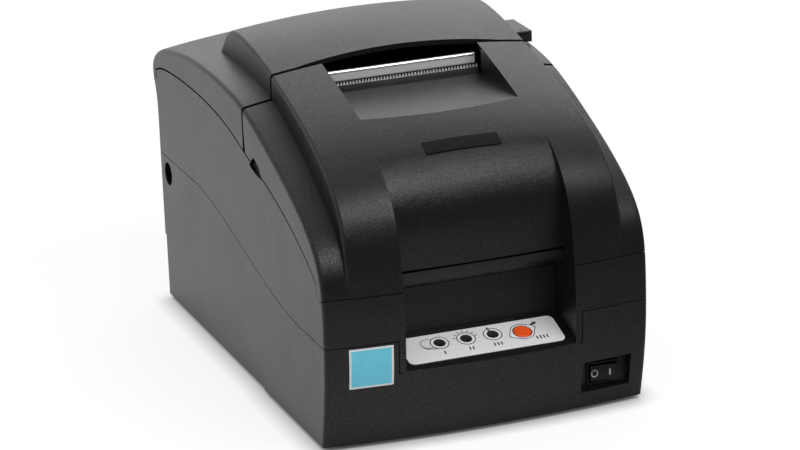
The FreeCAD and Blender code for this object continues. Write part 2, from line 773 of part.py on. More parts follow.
def cover_ear():
    web = side_plate([(-2.2, pin_z - 1), (-0.8, pin_z + 10), (1.6, pin_z + 10), (pin_s + 2.6, pin_z + 3),
                      (pin_s + 2.6, pin_z), (pin_s, pin_z - 2.6), (-1.0, pin_z - 2.6)], *cover_ear_x)
    eye = rod_x(cover_ear_x[0], cover_ear_x[1], pin_s, pin_z, 2.6)
    return joined([web, eye]).cut(rod_x(0, 90, pin_s, pin_z, front_pin_radius + pin_clearance))


ear = cover_ear()
front_cover = front_cover.fuse([ear, mirrored(ear)])

# the side seam between the covers spreads toward its lower end
cover_rear = cover_split - cover_seam / 2
spread = side_plate([(cover_rear, 128), (cover_rear + 1, 112), (cover_rear - seam_spread, 112)], 66, 100)
front_cover = front_cover.cut(finger_notches + [spread, mirrored(spread)])
keep("front_cover", largest(front_cover))
pins = rod_x(cover_ear_x[0] - 0.4, bracket_x[1] + 1.0, pin_s, pin_z, front_pin_radius)
keep("front_hinge_pins", [pins, mirrored(pins)])

# bare name plate on the crown of the front cover
plate_half = 18.6
name_plate_back = (23.4, 30.0)
plate_skin = skin(hump_line, 75.0, 0, -0.35).cut(skin(hump_line, 75.0, 0, 0))
keep("name_plate", plate_skin.common(box(-plate_half, plate_half, *name_plate_back, 100, 160)))

# ---------------------------------------------------------------- front sticker

sticker_side = 11.1         # from the case's left side to the sticker
sticker_width = 20.8
sticker_x = (sticker_side - half_width, sticker_side + sticker_width - half_width)
sticker_z = (31.9, 51.6)
sticker_skin = skin(shoulder_line, half_width, edge_round, -0.25).cut(shoulder_out)
keep("front_sticker", sticker_skin.common(
    box(sticker_x[0], sticker_x[1], -30, 20, sticker_z[0], sticker_z[1])))

# ---------------------------------------------------------------- paper cover

rear_zone = cover_zone.fuse(rear_barrel).common(box(-100, 100, cover_split + cover_seam / 2, 290, 60, 200))
arch_half = 52.0
arch_rise = 3.8             # the arched cut reaches this far behind the seam
arch_low = 140.0            # it starts below the cover's skin


def arch_cut():
    """Arched opening in the paper cover's front edge, over the tear bar."""
    s0 = cover_split - 10
    s1 = cover_split + cover_seam / 2
    start, top, end = [Vector(x, back(s), arch_low) for x, s in
                       ((-arch_half, s1), (0, s1 + arch_rise), (arch_half, s1))]
    arc = Part.Arc(start, top, end).toShape()
    corners = [end, Vector(arch_half, back(s0), arch_low), Vector(-arch_half, back(s0), arch_low), start]
    sides = [Part.makeLine(a, b) for a, b in zip(corners, corners[1:])]
    return Part.Face(Part.Wire([arc] + sides)).extrude(Vector(0, 0, 50))


rear_pin_x = (ear_x[0] - 5, ear_x[1] + 5)
rear_bore = rod_x(rear_pin_x[0] - 0.2, rear_pin_x[1] + 0.2, *rear_hinge, rear_pin_radius + pin_clearance)
paper_cover = skin_outer.cut(skin_inner).common(rear_zone)
paper_cover = paper_cover.fuse(rear_barrel.common(shoulder_out)).cut(arch_cut())
paper_cover = paper_cover.cut([rod_x(-ear_x[1] - 0.3, -ear_x[0] + 0.3, rear_hinge[0], rear_hinge[1], 6.4),
                               rod_x(ear_x[0] - 0.3, ear_x[1] + 0.3, rear_hinge[0], rear_hinge[1], 6.4),
                               rear_bore, mirrored(rear_bore)])

# slot in the right shoulder for the stem of the opening lever
stem_x = (72.0, 76.4)
stem_back = (138.0, 149.0)
lever_swing = 4.6           # the stem moves this far back at the height of the slot
slot_gap = 0.6
paper_cover = paper_cover.cut(box(stem_x[0] - slot_gap, stem_x[1] + slot_gap, stem_back[0] - slot_gap,
                                  stem_back[1] + lever_swing + slot_gap, 134, 170))

# lugs under the cover that carry the lever's pin
lever_pin_radius = 1.5
lug = box(67.8, 70.2, lever_pivot[0] - 5, lever_pivot[0] + 5, lever_pivot[1] - 4, 150)
lug = lug.common(skin_outer).cut(rod_x(60, 90, lever_pivot[0], lever_pivot[1], lever_pin_radius))
paper_cover = paper_cover.fuse(lug)

# arms that carry the pinch shaft holder
arm_x = (44.0, 47.0)
pinch_back = paper_back + paper_thickness / 2 + pinch_radius


def pinch_arm():
    arm = side_plate([(pinch_back - 3.2, feed_height - 3.2), (pinch_back + 6, feed_height - 3.2),
                      (pinch_back + 34, 152), (pinch_back + 34, 175), (pinch_back + 2, 175),
                      (pinch_back - 3.2, feed_height + 8)], arm_x[0], arm_x[1])
    bore = rod_x(arm_x[0] - 1, arm_x[1] + 1, pinch_back, feed_height, pinch_shaft_radius + pin_clearance)
    return arm.common(hump_out).cut([bore, arch_cut()])


arm = pinch_arm()
paper_cover = paper_cover.fuse([arm, mirrored(arm)])
keep("paper_cover", largest(paper_cover))
rear_pins = rod_x(rear_pin_x[0], rear_pin_x[1], rear_hinge[0], rear_hinge[1], rear_pin_radius)
keep("rear_hinge_pins", [rear_pins, mirrored(rear_pins)])

# paper guide plate between the arms, with a rolled top edge
slip_half = tray_half - 0.3     # the guide plate and the tear bar fill the tray's width
guide_half = arm_x[0] - 0.1
guide_top = 150.3
guide_back = 107.9
guide = joined([
    box(-slip_half, slip_half, guide_back, guide_back + 0.8, feed_height + 6, guide_top - 1.2),
    rod_x(-slip_half, slip_half, guide_back + 1.2, guide_top - 1.2, 1.2),
    box(-guide_half, guide_half, guide_back, guide_back + 0.8, feed_height + 6, feed_height + 14),
    box(-guide_half, -guide_half + 0.8, guide_back, guide_back + 9, feed_height + 6, feed_height + 14),
    box(guide_half - 0.8, guide_half, guide_back, guide_back + 9, feed_height + 6, feed_height + 14)])
keep("paper_guide_plate", guide)

# ---------------------------------------------------------------- opening lever

lever_plate = box(lever_x[0], lever_x[1], lever_back[0], lever_back[1], lever_top - 1.6, lever_top)
lever_plate = lever_plate.makeFillet(0.7, lever_plate.Edges)
lever_lip = box(73.2, lever_x[1], lever_back[0] + 0.6, lever_back[0] + 4.4, lever_top - 5.8, lever_top - 1.0)
pivot_s, pivot_z = lever_pivot
stem = side_plate([(stem_back[0], lever_top - 1.0), (stem_back[0], 134.0), (pivot_s - 4, pivot_z + 2),
                   (pivot_s + 4, pivot_z + 2), (stem_back[1], 134.0), (stem_back[1], lever_top - 1.0)],
                  stem_x[0], stem_x[1])
# the lower arm ends in a nose just in front of the catch bar
arm_low = catch_bar[1] - 4.4
nose = catch_bar[0] - catch_radius - 0.6
hook = side_plate([(pivot_s - 4, pivot_z), (pivot_s - 3, arm_low), (nose, arm_low), (nose, catch_bar[1]),
                   (pivot_s + 2, catch_bar[1] + 2), (pivot_s + 4, pivot_z)], stem_x[0], stem_x[1])
pivot_eye = rod_x(stem_x[0], stem_x[1], pivot_s, pivot_z, 4.0)
open_lever = joined([lever_plate, lever_lip, stem, hook, pivot_eye])
keep("open_lever", open_lever.cut(rod_x(60, 90, pivot_s, pivot_z, lever_pin_radius + pin_clearance)))
keep("lever_pin", joined([rod_x(66.8, stem_x[1] + 0.4, pivot_s, pivot_z, lever_pin_radius),
                          rod_x(66.2, 67.8, pivot_s, pivot_z, lever_pin_radius + 1)]))

# ---------------------------------------------------------------- mechanism frame

base_plate = box(-frame_outer, frame_outer, 28, 114, base_height, base_height + sheet)
base_plate = base_plate.cut([rod_z(50, 70, x, s, screw_radius + 0.2) for x, s in mech_posts])
base_plate = base_plate.cut(rod_z(50, 70, -pulley_x, belt_back, 4))
frame_outline = [(28, base_height), (116, base_height), (116, 106), (157, 110.4), (157, 117.4), (116, 117),
                 (107.5, 120), (107.5, 130), (105, 134), (101, 136), (92, 130), (44, 118), (28, 108)]


def side_frame(side):
    frame = side_plate(frame_outline, frame_half, frame_outer)
    frame = frame.cut(box(frame_half - 1, frame_outer + 1, 0, 200, base_height - 1,
                          base_height + sheet + 0.02))
    bores = [rod_x(50, 70, shaft_back, shaft_height, shaft_radius),
             rod_x(50, 70, rail_back, shaft_height, rail_radius)]
    frame = frame.cut(bores)
    return frame if side > 0 else mirrored(frame)


keep("carriage_shaft", rod_x(-frame_outer, frame_outer, shaft_back, shaft_height, shaft_radius))
keep("carriage_rail", rod_x(-frame_outer, frame_outer, rail_back, shaft_height, rail_radius))

# ---------------------------------------------------------------- platen and tear bar

platen_back = paper_back + 0.4
keep("platen", box(-frame_half, frame_half, platen_back, platen_back + 6, head_height - 5, head_height + 5))
tear_back = 103.6
tear_half = slip_half
tooth_count = 50
tooth_height = 1.3
tear_low = 141.0
tear_top = 145.7


def tear_bar():
    """Bent steel strip with upright teeth, carried by the side frames."""
    pitch = 2 * tear_half / tooth_count
    points = [(-tear_half, tear_low)]
    for k in range(tooth_count):
        x = -tear_half + k * pitch
        points += [(x, tear_top - tooth_height), (x + pitch / 2, tear_top)]
    points += [(tear_half, tear_top - tooth_height), (tear_half, tear_low)]
    strip = front_plate(points, tear_back, tear_back + 0.8)
    apron = box(-tear_half, tear_half, tear_back, tear_back + 0.8, 133.5, tear_low)
    beam = box(-frame_half, frame_half, tear_back, tear_back + 0.8, 128, 133.5)
    return joined([strip, apron, beam])


keep("tear_bar", tear_bar())

# ---------------------------------------------------------------- paper feed

feed_back = paper_back - paper_thickness / 2 - feed_radius
feed_gear_x = frame_outer + 0.6


def gear(x0, s, z, pitch_radius, teeth, bore, thick=gear_width):
    """Spur gear about an X axis; the tips keep a small clearance."""
    outer = pitch_radius - gear_gap / 2
    root = outer - min(1.6, outer * 0.25)
    points = []
    for k in range(teeth):
        for share, radius in ((0.0, root), (0.2, outer), (0.42, outer), (0.62, root)):
            angle = 2 * math.pi * (k + share) / teeth
            points.append(Vector(x0, back(s) + radius * math.cos(angle), z + radius * math.sin(angle)))
    face = Part.Face(Part.makePolygon(points + points[:1]))
    wheel = face.extrude(Vector(thick, 0, 0))
    return wheel.cut(rod_x(x0 - 1, x0 + thick + 1, s, z, bore))


motor_place = (44.0, 84.0)
pinion_pitch = 4.0
feed_gear_pitch = 11.0
first_gear_pitch = 16.0
reach = math.hypot(feed_back - motor_place[0], feed_height - motor_place[1])
second_gear_pitch = (reach - pinion_pitch - feed_gear_pitch - 2 * first_gear_pitch) / 2
run = ((feed_back - motor_place[0]) / reach, (feed_height - motor_place[1]) / reach)


def along_train(distance):
    return (motor_place[0] + run[0] * distance, motor_place[1] + run[1] * distance)


first_gear = along_train(pinion_pitch + first_gear_pitch)
second_gear = along_train(pinion_pitch + 2 * first_gear_pitch + second_gear_pitch)

motor_radius = 14.0
motor_length = 16.0
feed_motor = rod_x(frame_half - motor_length, frame_half, motor_place[0], motor_place[1], motor_radius)
feed_motor = feed_motor.cut(rod_x(frame_half - 6, frame_half + 1, *motor_place, 1.0 + pin_clearance))
keep("feed_motor", feed_motor)
right_frame = side_frame(1)
left_frame = side_frame(-1)
right_frame = right_frame.cut([
    rod_x(50, 70, motor_place[0], motor_place[1], 2.2),
    rod_x(50, 70, first_gear[0], first_gear[1], gear_stud),
    rod_x(50, 70, second_gear[0], second_gear[1], gear_stud),
    rod_x(50, 70, feed_back, feed_height, 4.0)])
left_frame = left_frame.cut(rod_x(-70, -50, feed_back, feed_height, 4.0))
keep("feed_motor_pinion", joined([
    gear(feed_gear_x, motor_place[0], motor_place[1], pinion_pitch, 12, 0.5),
    rod_x(frame_half - 5.8, feed_gear_x + gear_width, motor_place[0], motor_place[1], 1.0)]))
keep("first_gear", gear(feed_gear_x, *first_gear, first_gear_pitch, 40, gear_stud + pin_clearance))
keep("second_gear", gear(feed_gear_x, *second_gear, second_gear_pitch, 24, gear_stud + pin_clearance))
stud_end = feed_gear_x + gear_width + 0.4
studs = []
for s, z in (first_gear, second_gear):
    pin = rod_x(frame_half, stud_end, s, z, gear_stud)
    studs.append(joined([pin, rod_x(stud_end - 0.2, stud_end + 0.8, s, z, gear_stud + 1.2)]))
keep("gear_studs", studs)
keep("feed_gear", gear(feed_gear_x, feed_back, feed_height, feed_gear_pitch, 28, feed_shaft_radius))
keep("feed_shaft", rod_x(-frame_outer - 1.6, feed_gear_x + gear_width, feed_back, feed_height,
                         feed_shaft_radius))
roller_width = 14.0
roller_x = (-26.0, 0.0, 26.0)


def sleeve(x, half, s, z, outer, inner):
    return rod_x(x - half, x + half, s, z, outer).cut(rod_x(x - half - 1, x + half + 1, s, z, inner))


keep("feed_rollers", [sleeve(x, roller_width / 2, feed_back, feed_height, feed_radius, feed_shaft_radius)
                      for x in roller_x])
bush_bore = feed_shaft_radius + pin_clearance
bushes = []
for side in (-1, 1):
    x = side * (frame_half + sheet / 2)
    flange = sleeve(side * (frame_half - 0.6), 0.6, feed_back, feed_height, 5.2, bush_bore)
    bushes.append(joined([sleeve(x, sheet / 2, feed_back, feed_height, 4.0, bush_bore), flange]))
keep("feed_bushes", bushes)

keep("pinch_shaft", rod_x(-arm_x[1] - 0.8, arm_x[1] + 0.8, pinch_back, feed_height, pinch_shaft_radius))
keep("pinch_rollers", [sleeve(x, roller_width / 2, pinch_back, feed_height, pinch_radius,
                              pinch_shaft_radius) for x in roller_x])

# ---------------------------------------------------------------- head carriage

carriage = joined([
    box(-carriage_half, carriage_half, rail_back - 5, shaft_back + 8, 86.4, 95.6),
    box(-carriage_half, carriage_half, shaft_back - 6, shaft_back + 6, 84.4, 95.6),
    box(-head_half, head_half, 74, 98, 95.6, 97.4)])
bush_radius = shaft_radius + 1.4
carriage = carriage.cut([
    rod_x(-30, 30, shaft_back, shaft_height, bush_radius),
    box(-30, 30, rail_back - 8, rail_back + rail_radius + slide_clearance,
        shaft_height - rail_radius - slide_clearance, shaft_height + rail_radius + slide_clearance)])
clamp_back = belt_back + pulley_radius + belt_clearance + belt_thickness / 2
belt_slot = belt_thickness + 2 * 0.15
clamp = box(-5, 5, clamp_back - 2.2, clamp_back + 2.2, belt_height - 3.4, 86.4)
clamp = clamp.cut(box(-6, 6, clamp_back - belt_slot / 2, clamp_back + belt_slot / 2,
                      belt_height - belt_width / 2 - 0.15, belt_height + belt_width / 2 + 0.15))
keep("head_carriage", carriage.fuse(clamp).removeSplitter())
keep("carriage_bushes", [sleeve(x, 3.0, shaft_back, shaft_height, bush_radius,
                                shaft_radius + slide_clearance)
                         for x in (-carriage_half + 3.0, carriage_half - 3.0)])
nose_tip = paper_back - 2.2
head = joined([
    box(-head_half, head_half, 76, 96, 97.4, 107),
    plan_plate([(-head_half, 96), (head_half, 96), (3, 101), (3, nose_tip), (-3, nose_tip), (-3, 101)],
               head_height - 3, head_height + 3)])
keep("print_head", head)
fins = [box(-head_half, head_half, 62, 76, 97.4, 99.4)]
for k in range(6):
    fins.append(box(-head_half, head_half, 63.2 + 2.2 * k, 64.0 + 2.2 * k, 99.4, 107))
keep("head_heat_sink", joined(fins))

# ---------------------------------------------------------------- belt drive

pulley_low = belt_height - belt_width / 2


def pulley(x):
    """Toothed pulley with flanges about a Z axis."""
    core = rod_z(pulley_low - 0.4, pulley_low + belt_width + 0.4, x, belt_back, pulley_radius)
    flange = pulley_radius + 1.4
    return joined([core, rod_z(pulley_low - 1.2, pulley_low - 0.3, x, belt_back, flange),
                   rod_z(pulley_low + belt_width + 0.3, pulley_low + belt_width + 1.2, x, belt_back, flange)])


ribbon_gear_low = pulley_low + belt_width + 1.6
carriage_motor_top = base_height - 0.2
motor_shaft = rod_z(carriage_motor_top - 6, ribbon_gear_low + 3, -pulley_x, belt_back, 1.5)


def flat_gear(x, s, z0, pitch_radius, teeth, thick):
    turned = gear(0, 0, 0, pitch_radius, teeth, 0.4, thick)
    turned.translate(Vector(0, -back(0), 0))
    turned.rotate(Vector(0, 0, 0), Vector(0, 1, 0), -90)
    turned.translate(Vector(x, back(s), z0))
    return turned


ribbon_pitch = (6.0, 8.0)
ribbon_back = belt_back - ribbon_pitch[0] - ribbon_pitch[1]
keep("motor_pulley", joined([pulley(-pulley_x), motor_shaft,
                             flat_gear(-pulley_x, belt_back, ribbon_gear_low, ribbon_pitch[0], 18, 3.0)]))
carriage_motor = rod_z(carriage_motor_top - 18, carriage_motor_top, -pulley_x, belt_back, 13.0)
motor_bore = rod_z(0, 99, -pulley_x, belt_back, 1.5 + pin_clearance)
carriage_motor = carriage_motor.cut(rod_z(carriage_motor_top - 6.2, 90, -pulley_x, belt_back,
                                          1.5 + pin_clearance))
collar = rod_z(carriage_motor_top - 0.5, base_height + sheet, -pulley_x, belt_back, 3.8)
carriage_motor = joined([carriage_motor, collar.cut(motor_bore)])
keep("carriage_motor", carriage_motor)
idler_x = pulley_x - 6
keep("mechanism_base", joined([
    base_plate, rod_z(base_height + sheet, pulley_low - 1.2, idler_x, belt_back, 3.4),
    rod_z(base_height + sheet, pulley_low + belt_width + 3, idler_x, belt_back, 1.5)]))
keep("idler_pulley", pulley(idler_x).cut(rod_z(0, 99, idler_x, belt_back, 1.5 + pin_clearance)))


def timing_belt():
    """Closed belt: two straight runs and a half turn at each pulley."""
    inner = pulley_radius + belt_clearance
    outer = inner + belt_thickness

    def loop(radius):
        low_z, high_z = belt_height - belt_width / 2, belt_height + belt_width / 2
        slab = box(-pulley_x, idler_x, belt_back - radius, belt_back + radius, low_z, high_z)
        ends = [rod_z(low_z, high_z, x, belt_back, radius) for x in (-pulley_x, idler_x)]
        return joined([slab] + ends)
    return loop(outer).cut(loop(inner))


keep("timing_belt", timing_belt())

# ---------------------------------------------------------------- ribbon

cartridge_low = 112.0
cartridge_high = 126.0
ribbon_low = head_height - 4.5
ribbon_high = head_height + 4.5
arm_tip = 99.0
cartridge_arm = [(46, 86), (54, 86), (53, arm_tip), (50, arm_tip)]
cartridge = plan_plate([(-52, 50), (52, 50), (54, 88), (46, 90), (-46, 90), (-54, 88)],
                       cartridge_low, cartridge_high)
cartridge_roof = side_plate([(0, 90), (120, 90), (120, 132), (96, 126), (60, 126), (50, 119), (0, 100)],
                            -60, 60)
spool_radius = 5.0
cartridge = cartridge.common(cartridge_roof).fuse([
    plan_plate(cartridge_arm, ribbon_low - 1, 117),
    plan_plate([(-x, s) for x, s in cartridge_arm], ribbon_low - 1, 117),
    box(-frame_half, frame_half, 62, 70, cartridge_low, cartridge_low + 2)])
cartridge = cartridge.cut([rod_z(90, 140, -pulley_x, ribbon_back, spool_radius + 0.3),
                           box(-40, 40, 52, 88, cartridge_low - 1, cartridge_high - 2)])
keep("ribbon_cartridge", cartridge.removeSplitter())
ribbon_line = paper_back - 1.4


def ribbon():
    """Inked ribbon stretched between the cartridge's arms, in front of the platen."""
    half_thick = 0.1
    inner, outer = 50.3, 51.7
    lead = [(outer, arm_tip), (outer + 0.3, arm_tip), (inner + 0.2, ribbon_line + half_thick),
            (inner - 0.2, ribbon_line - half_thick)]
    pieces = [box(-inner, inner, ribbon_line - half_thick, ribbon_line + half_thick, ribbon_low, ribbon_high)]
    for side in (-1, 1):
        pieces.append(plan_plate([(side * x, s) for x, s in lead], ribbon_low, ribbon_high))
    return joined(pieces)


keep("ink_ribbon", ribbon())
keep("ribbon_drive", joined([
    flat_gear(-pulley_x, ribbon_back, ribbon_gear_low, ribbon_pitch[1], 24, 3.0),
    rod_z(base_height + sheet + 0.3, cartridge_low + 1, -pulley_x, ribbon_back, 2.5),
    rod_z(cartridge_low + 0.5, 119, -pulley_x, ribbon_back, spool_radius)]))

# ---------------------------------------------------------------- paper bucket


def paper_bucket():
    """Trough that the paper roll drops into, open at the top."""
    half = bucket_width / 2
    outer_half = half + bucket_wall
    outer = joined([rod_x(-outer_half, outer_half, bucket_back, bucket_height, bucket_radius + bucket_wall),
                    box(-outer_half, outer_half, bucket_back - bucket_radius - bucket_wall,
                        bucket_back + bucket_radius + bucket_wall, bucket_height, bucket_top)])
    outer = outer.common(box(-100, 100, 100, 260, 0, bucket_top))
    inner = joined([rod_x(-half, half, bucket_back, bucket_height, bucket_radius),
                    box(-half, half, bucket_back - bucket_radius, bucket_back + bucket_radius,
                        bucket_height, 130)])
    low_z = bucket_height - bucket_radius - bucket_wall
    legs = [box(x - 3, x + 3, s - 3, s + 3, board_top + 0.2, low_z + 9)
            for x in (-34, 34) for s in (bucket_back - 14, bucket_back + 14)]
    return joined([outer] + legs).cut(inner)


keep("paper_bucket", paper_bucket())

# ---------------------------------------------------------------- electronics and rear connectors

main_board = box(board_x[0], board_x[1], board_back[0], board_back[1], board_height, board_top)
main_board = main_board.cut([rod_z(0, 40, x, s, screw_radius + 0.2) for x, s in board_posts])
keep("main_board", main_board)
keep("board_screws", [screw(x, s, board_top + 1.6, 9.0, -1) for x, s in board_posts])
keep("mechanism_screws", [screw(x, s, base_height + sheet + 1.6, 11.0, -1) for x, s in mech_posts])
keep("case_screws", [screw(x, s, case_bottom + 2.4, case_screw_top + 8, 1) for x, s in screw_posts])

rear_inner = rear_face - wall
interface = box(plate_x[0], plate_x[1], rear_face - wall - 1.2, rear_face - wall, plate_z[0], plate_z[1])
connector_x = (-2.0, 44.0)
connector_z = (21.0, 34.0)
interface = interface.cut(box(connector_x[0] + 2, connector_x[1] - 2, rear_face - 8, 260,
                              connector_z[0] + 1.5, connector_z[1] - 1.5))
plate_screws_x = (plate_x[0] + 6.0, plate_x[1] - 6.0)
plate_screw_z = 29.0
interface = interface.cut([rod_y(rear_face - 8, 260, x, plate_screw_z, screw_radius)
                           for x in plate_screws_x])
keep("interface_plate", interface)
keep("data_connector", joined([
    box(connector_x[0] + 2.2, connector_x[1] - 2.2, rear_face - wall - 8, rear_face - 0.4,
        connector_z[0] + 1.7, connector_z[1] - 1.7),
    box(connector_x[0] - 1, connector_x[1] + 1, rear_face - wall - 9, rear_face - wall - 1.2,
        connector_z[0] - 1, connector_z[1] + 1),
    box(connector_x[0], connector_x[1], rear_face - wall - 9, rear_face - wall - 5.8,
        board_top, connector_z[0])]).cut(
    box(connector_x[0] + 4, connector_x[1] - 4, rear_face - 6, 260,
        connector_z[0] + 3.2, connector_z[1] - 3.2)))
plate_screws = []
for x in plate_screws_x:
    head_piece = rod_y(rear_face - wall, rear_face - wall + 1.6, x, plate_screw_z, screw_head - 0.4)
    shank = rod_y(rear_face - wall - 6, rear_face - wall + 0.5, x, plate_screw_z, screw_radius - 0.05)
    plate_screws.append(joined([head_piece, shank]))
keep("plate_screws", plate_screws)
jack = box(jack_x - jack_size[0] / 2 + 0.3, jack_x + jack_size[0] / 2 - 0.3,
           rear_face - 15, rear_face - 0.5,
           rear_cut_z - jack_size[1] / 2 + 0.3, rear_cut_z + jack_size[1] / 2 - 0.3)
jack = jack.fuse(box(jack_x - 6, jack_x + 6, rear_face - 15, rear_inner - 4, board_top,
                     rear_cut_z)).removeSplitter()
keep("drawer_jack", jack.cut(
    box(jack_x - 5, jack_x + 5, rear_face - 11, 260, rear_cut_z - 3.5, rear_cut_z + 4)))
inlet = rod_y(rear_face - 14, rear_face - 0.5, inlet_x, rear_cut_z, inlet_radius - 0.3)
inlet = inlet.fuse(box(inlet_x - 6, inlet_x + 6, rear_face - 14, rear_inner - 1, board_top,
                       rear_cut_z + 7)).removeSplitter()
keep("power_inlet", inlet.cut(rod_y(rear_face - 8, 260, inlet_x, rear_cut_z, inlet_radius - 1.6)))

# the right side frame carries the catch bar of the opening lever
keep("side_frame_right", right_frame.fuse(
    rod_x(frame_half, stem_x[1] + 0.4, catch_bar[0], catch_bar[1], catch_radius)).removeSplitter())
keep("side_frame_left", left_frame)

# ---------------------------------------------------------------- write the pieces

for name, shape in nodes.items():
    valid = shape.isValid() and all(solid.isClosed() for solid in shape.Solids)
    print(name, len(shape.Solids), round(shape.Volume, 1), "" if valid else "NOT VALID")
    shape.exportStep("parts/" + name + ".step")

whole = Part.makeCompound(list(nodes.values())).BoundBox
ends = (whole.XMin, whole.XMax, whole.YMin, whole.YMax, whole.ZMin, whole.ZMax)
print("box", [round(value, 2) for value in ends])
print("nodes", len(nodes))
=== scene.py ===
"""The looks of a receipt printer: moulded case, operation panel, tear bar, covers and the parts inside."""

import json
import math

import bmesh
import bpy
from bpy.props import FloatProperty, FloatVectorProperty, IntProperty, PointerProperty
from bpy.types import Operator, Panel, PropertyGroup
from mathutils import Matrix, Vector

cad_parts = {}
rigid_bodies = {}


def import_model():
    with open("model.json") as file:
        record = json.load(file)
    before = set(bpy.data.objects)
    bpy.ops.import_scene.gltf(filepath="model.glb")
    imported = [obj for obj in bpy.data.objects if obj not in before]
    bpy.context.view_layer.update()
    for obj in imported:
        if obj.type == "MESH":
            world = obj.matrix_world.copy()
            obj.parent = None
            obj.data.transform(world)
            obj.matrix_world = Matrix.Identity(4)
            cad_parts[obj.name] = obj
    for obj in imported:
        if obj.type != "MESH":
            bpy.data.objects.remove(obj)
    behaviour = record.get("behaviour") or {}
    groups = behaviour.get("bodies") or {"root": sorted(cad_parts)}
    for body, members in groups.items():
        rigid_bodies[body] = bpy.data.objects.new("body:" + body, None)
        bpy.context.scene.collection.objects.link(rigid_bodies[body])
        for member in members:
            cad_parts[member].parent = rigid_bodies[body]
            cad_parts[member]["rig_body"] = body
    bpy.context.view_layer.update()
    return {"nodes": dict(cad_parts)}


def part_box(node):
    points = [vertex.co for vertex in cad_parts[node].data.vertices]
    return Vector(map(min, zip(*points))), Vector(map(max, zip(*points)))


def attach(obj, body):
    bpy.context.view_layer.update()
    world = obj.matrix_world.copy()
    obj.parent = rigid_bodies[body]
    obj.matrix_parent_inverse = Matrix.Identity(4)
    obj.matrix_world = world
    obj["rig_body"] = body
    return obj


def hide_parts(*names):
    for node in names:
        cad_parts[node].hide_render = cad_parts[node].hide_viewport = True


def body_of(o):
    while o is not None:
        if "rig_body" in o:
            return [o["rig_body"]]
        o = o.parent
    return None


bl_info = {
    "name": "Receipt Printer",
    "version": (1, 0, 0),
    "blender": (4, 5, 0),
    "location": "View3D > Sidebar > Printer",
    "description": "Dresses the receipt printer's case, panel, cutter edge and inner parts",
    "category": "Object",
}

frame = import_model()

MM = 0.001
FRONT_EDGE = -124.0 * MM        # front corner edge of the case
PANEL_HEIGHT = 38.6 * MM        # operation panel at the front edge
PANEL_SLOPE = 0.32
FILM = 0.3 * MM                 # thickness of the panel film
INK = 0.03 * MM                 # thickness of the print on the film
BUTTON = (20.9, 10.6)           # middle of the feed button: X, and behind the front edge
HEAD = 1.6 * MM                 # height of a screw's head


def behind(distance):
    """Depth of a place given in millimetres behind the front corner edge."""
    return FRONT_EDGE + distance * MM


def in_metres(points):
    """Points that are given in millimetres."""
    return [tuple(value * MM for value in point) for point in points]


def middle_of(low, high):
    """Middle of a box."""
    return [(a + b) / 2 for a, b in zip(low, high)]


# ---- meshes


def shown(name, data):
    """A new object in the scene, at the origin."""
    piece = bpy.data.objects.new(name, data)
    bpy.context.scene.collection.objects.link(piece)
    return piece


def piece_from(name, shape, smooth_angle=30):
    """Turns a bmesh into an object that is smooth except where faces meet sharply.

    The angle is a number of degrees, or a function of the place of an edge's middle.
    """
    for face in shape.faces:
        face.smooth = True
    for edge in shape.edges:
        if len(edge.link_faces) == 2:
            middle = (edge.verts[0].co + edge.verts[1].co) / 2
            degrees = smooth_angle(middle) if callable(smooth_angle) else smooth_angle
            edge.smooth = edge.calc_face_angle(0.0) < math.radians(degrees)
    mesh = bpy.data.meshes.new(name)
    shape.to_mesh(mesh)
    shape.free()
    return shown(name, mesh)


def node_shape(node):
    """A merged copy of a CAD node's triangles."""
    source = frame["nodes"][node]
    shape = bmesh.new()
    corners = [shape.verts.new(vertex.co) for vertex in source.data.vertices]
    for polygon in source.data.polygons:
        try:
            shape.faces.new([corners[index] for index in polygon.vertices])
        except ValueError:
            continue
    bmesh.ops.remove_doubles(shape, verts=shape.verts, dist=0.002 * MM)
    bmesh.ops.dissolve_degenerate(shape, edges=shape.edges, dist=0.001 * MM)
    return shape


def even_shading(piece):
    """Large faces keep flat shading beside their rounded edges."""
    weighted = piece.modifiers.new("Even shading", "WEIGHTED_NORMAL")
    weighted.mode = "FACE_AREA"
    weighted.weight = 50
    weighted.keep_sharp = True


def rounded_edges(piece, width, degrees=30):
    """Rounds the edges of a piece where its faces meet at more than an angle."""
    bevel = piece.modifiers.new("Rounded edges", "BEVEL")
    bevel.width = width
    bevel.segments = 2
    bevel.limit_method = "ANGLE"
    bevel.angle_limit = math.radians(degrees)


def dressed_copy(node, finish, smooth_angle, rounding):
    """A copy of a CAD node with rounded edges and its finish, which takes the node's place."""
    piece = piece_from(node + "_dressed", node_shape(node), smooth_angle)
    rounded_edges(piece, rounding, 28)
    even_shading(piece)
    return hand_over(piece, finish, node)


def carried(finish, *nodes):
    """Gives CAD nodes whose shape is right a finish of their own."""
    for node in nodes:
        slots = frame["nodes"][node].material_slots
        if not slots:
            raise RuntimeError(node + " has no material slot")
        for material_slot in slots:
            material_slot.material = finish


def hand_over(piece, finish, node=None, body=None):
    """Gives a finished piece its material and its body, and hides the node that it stands for."""
    if finish is not None:
        piece.data.materials.clear()
        piece.data.materials.append(finish)
    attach(piece, body or body_of_node(node))
    if node is not None:
        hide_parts(node)
    return piece


def body_of_node(node):
    """Name of the body that a CAD node rides on."""
    return body_of(frame["nodes"][node])[0]


def outline_plate(outline, low, high):
    """A bmesh plate with a flat outline in X and Y, from one height to another."""
    shape = bmesh.new()
    ring = [shape.verts.new((x, y, low)) for x, y in outline]
    base = shape.faces.new(ring)
    top = bmesh.ops.extrude_face_region(shape, geom=[base])
    moved = [item for item in top["geom"] if isinstance(item, bmesh.types.BMVert)]
    bmesh.ops.translate(shape, verts=moved, vec=(0, 0, high - low))
    bmesh.ops.recalc_face_normals(shape, faces=shape.faces)
    return shape


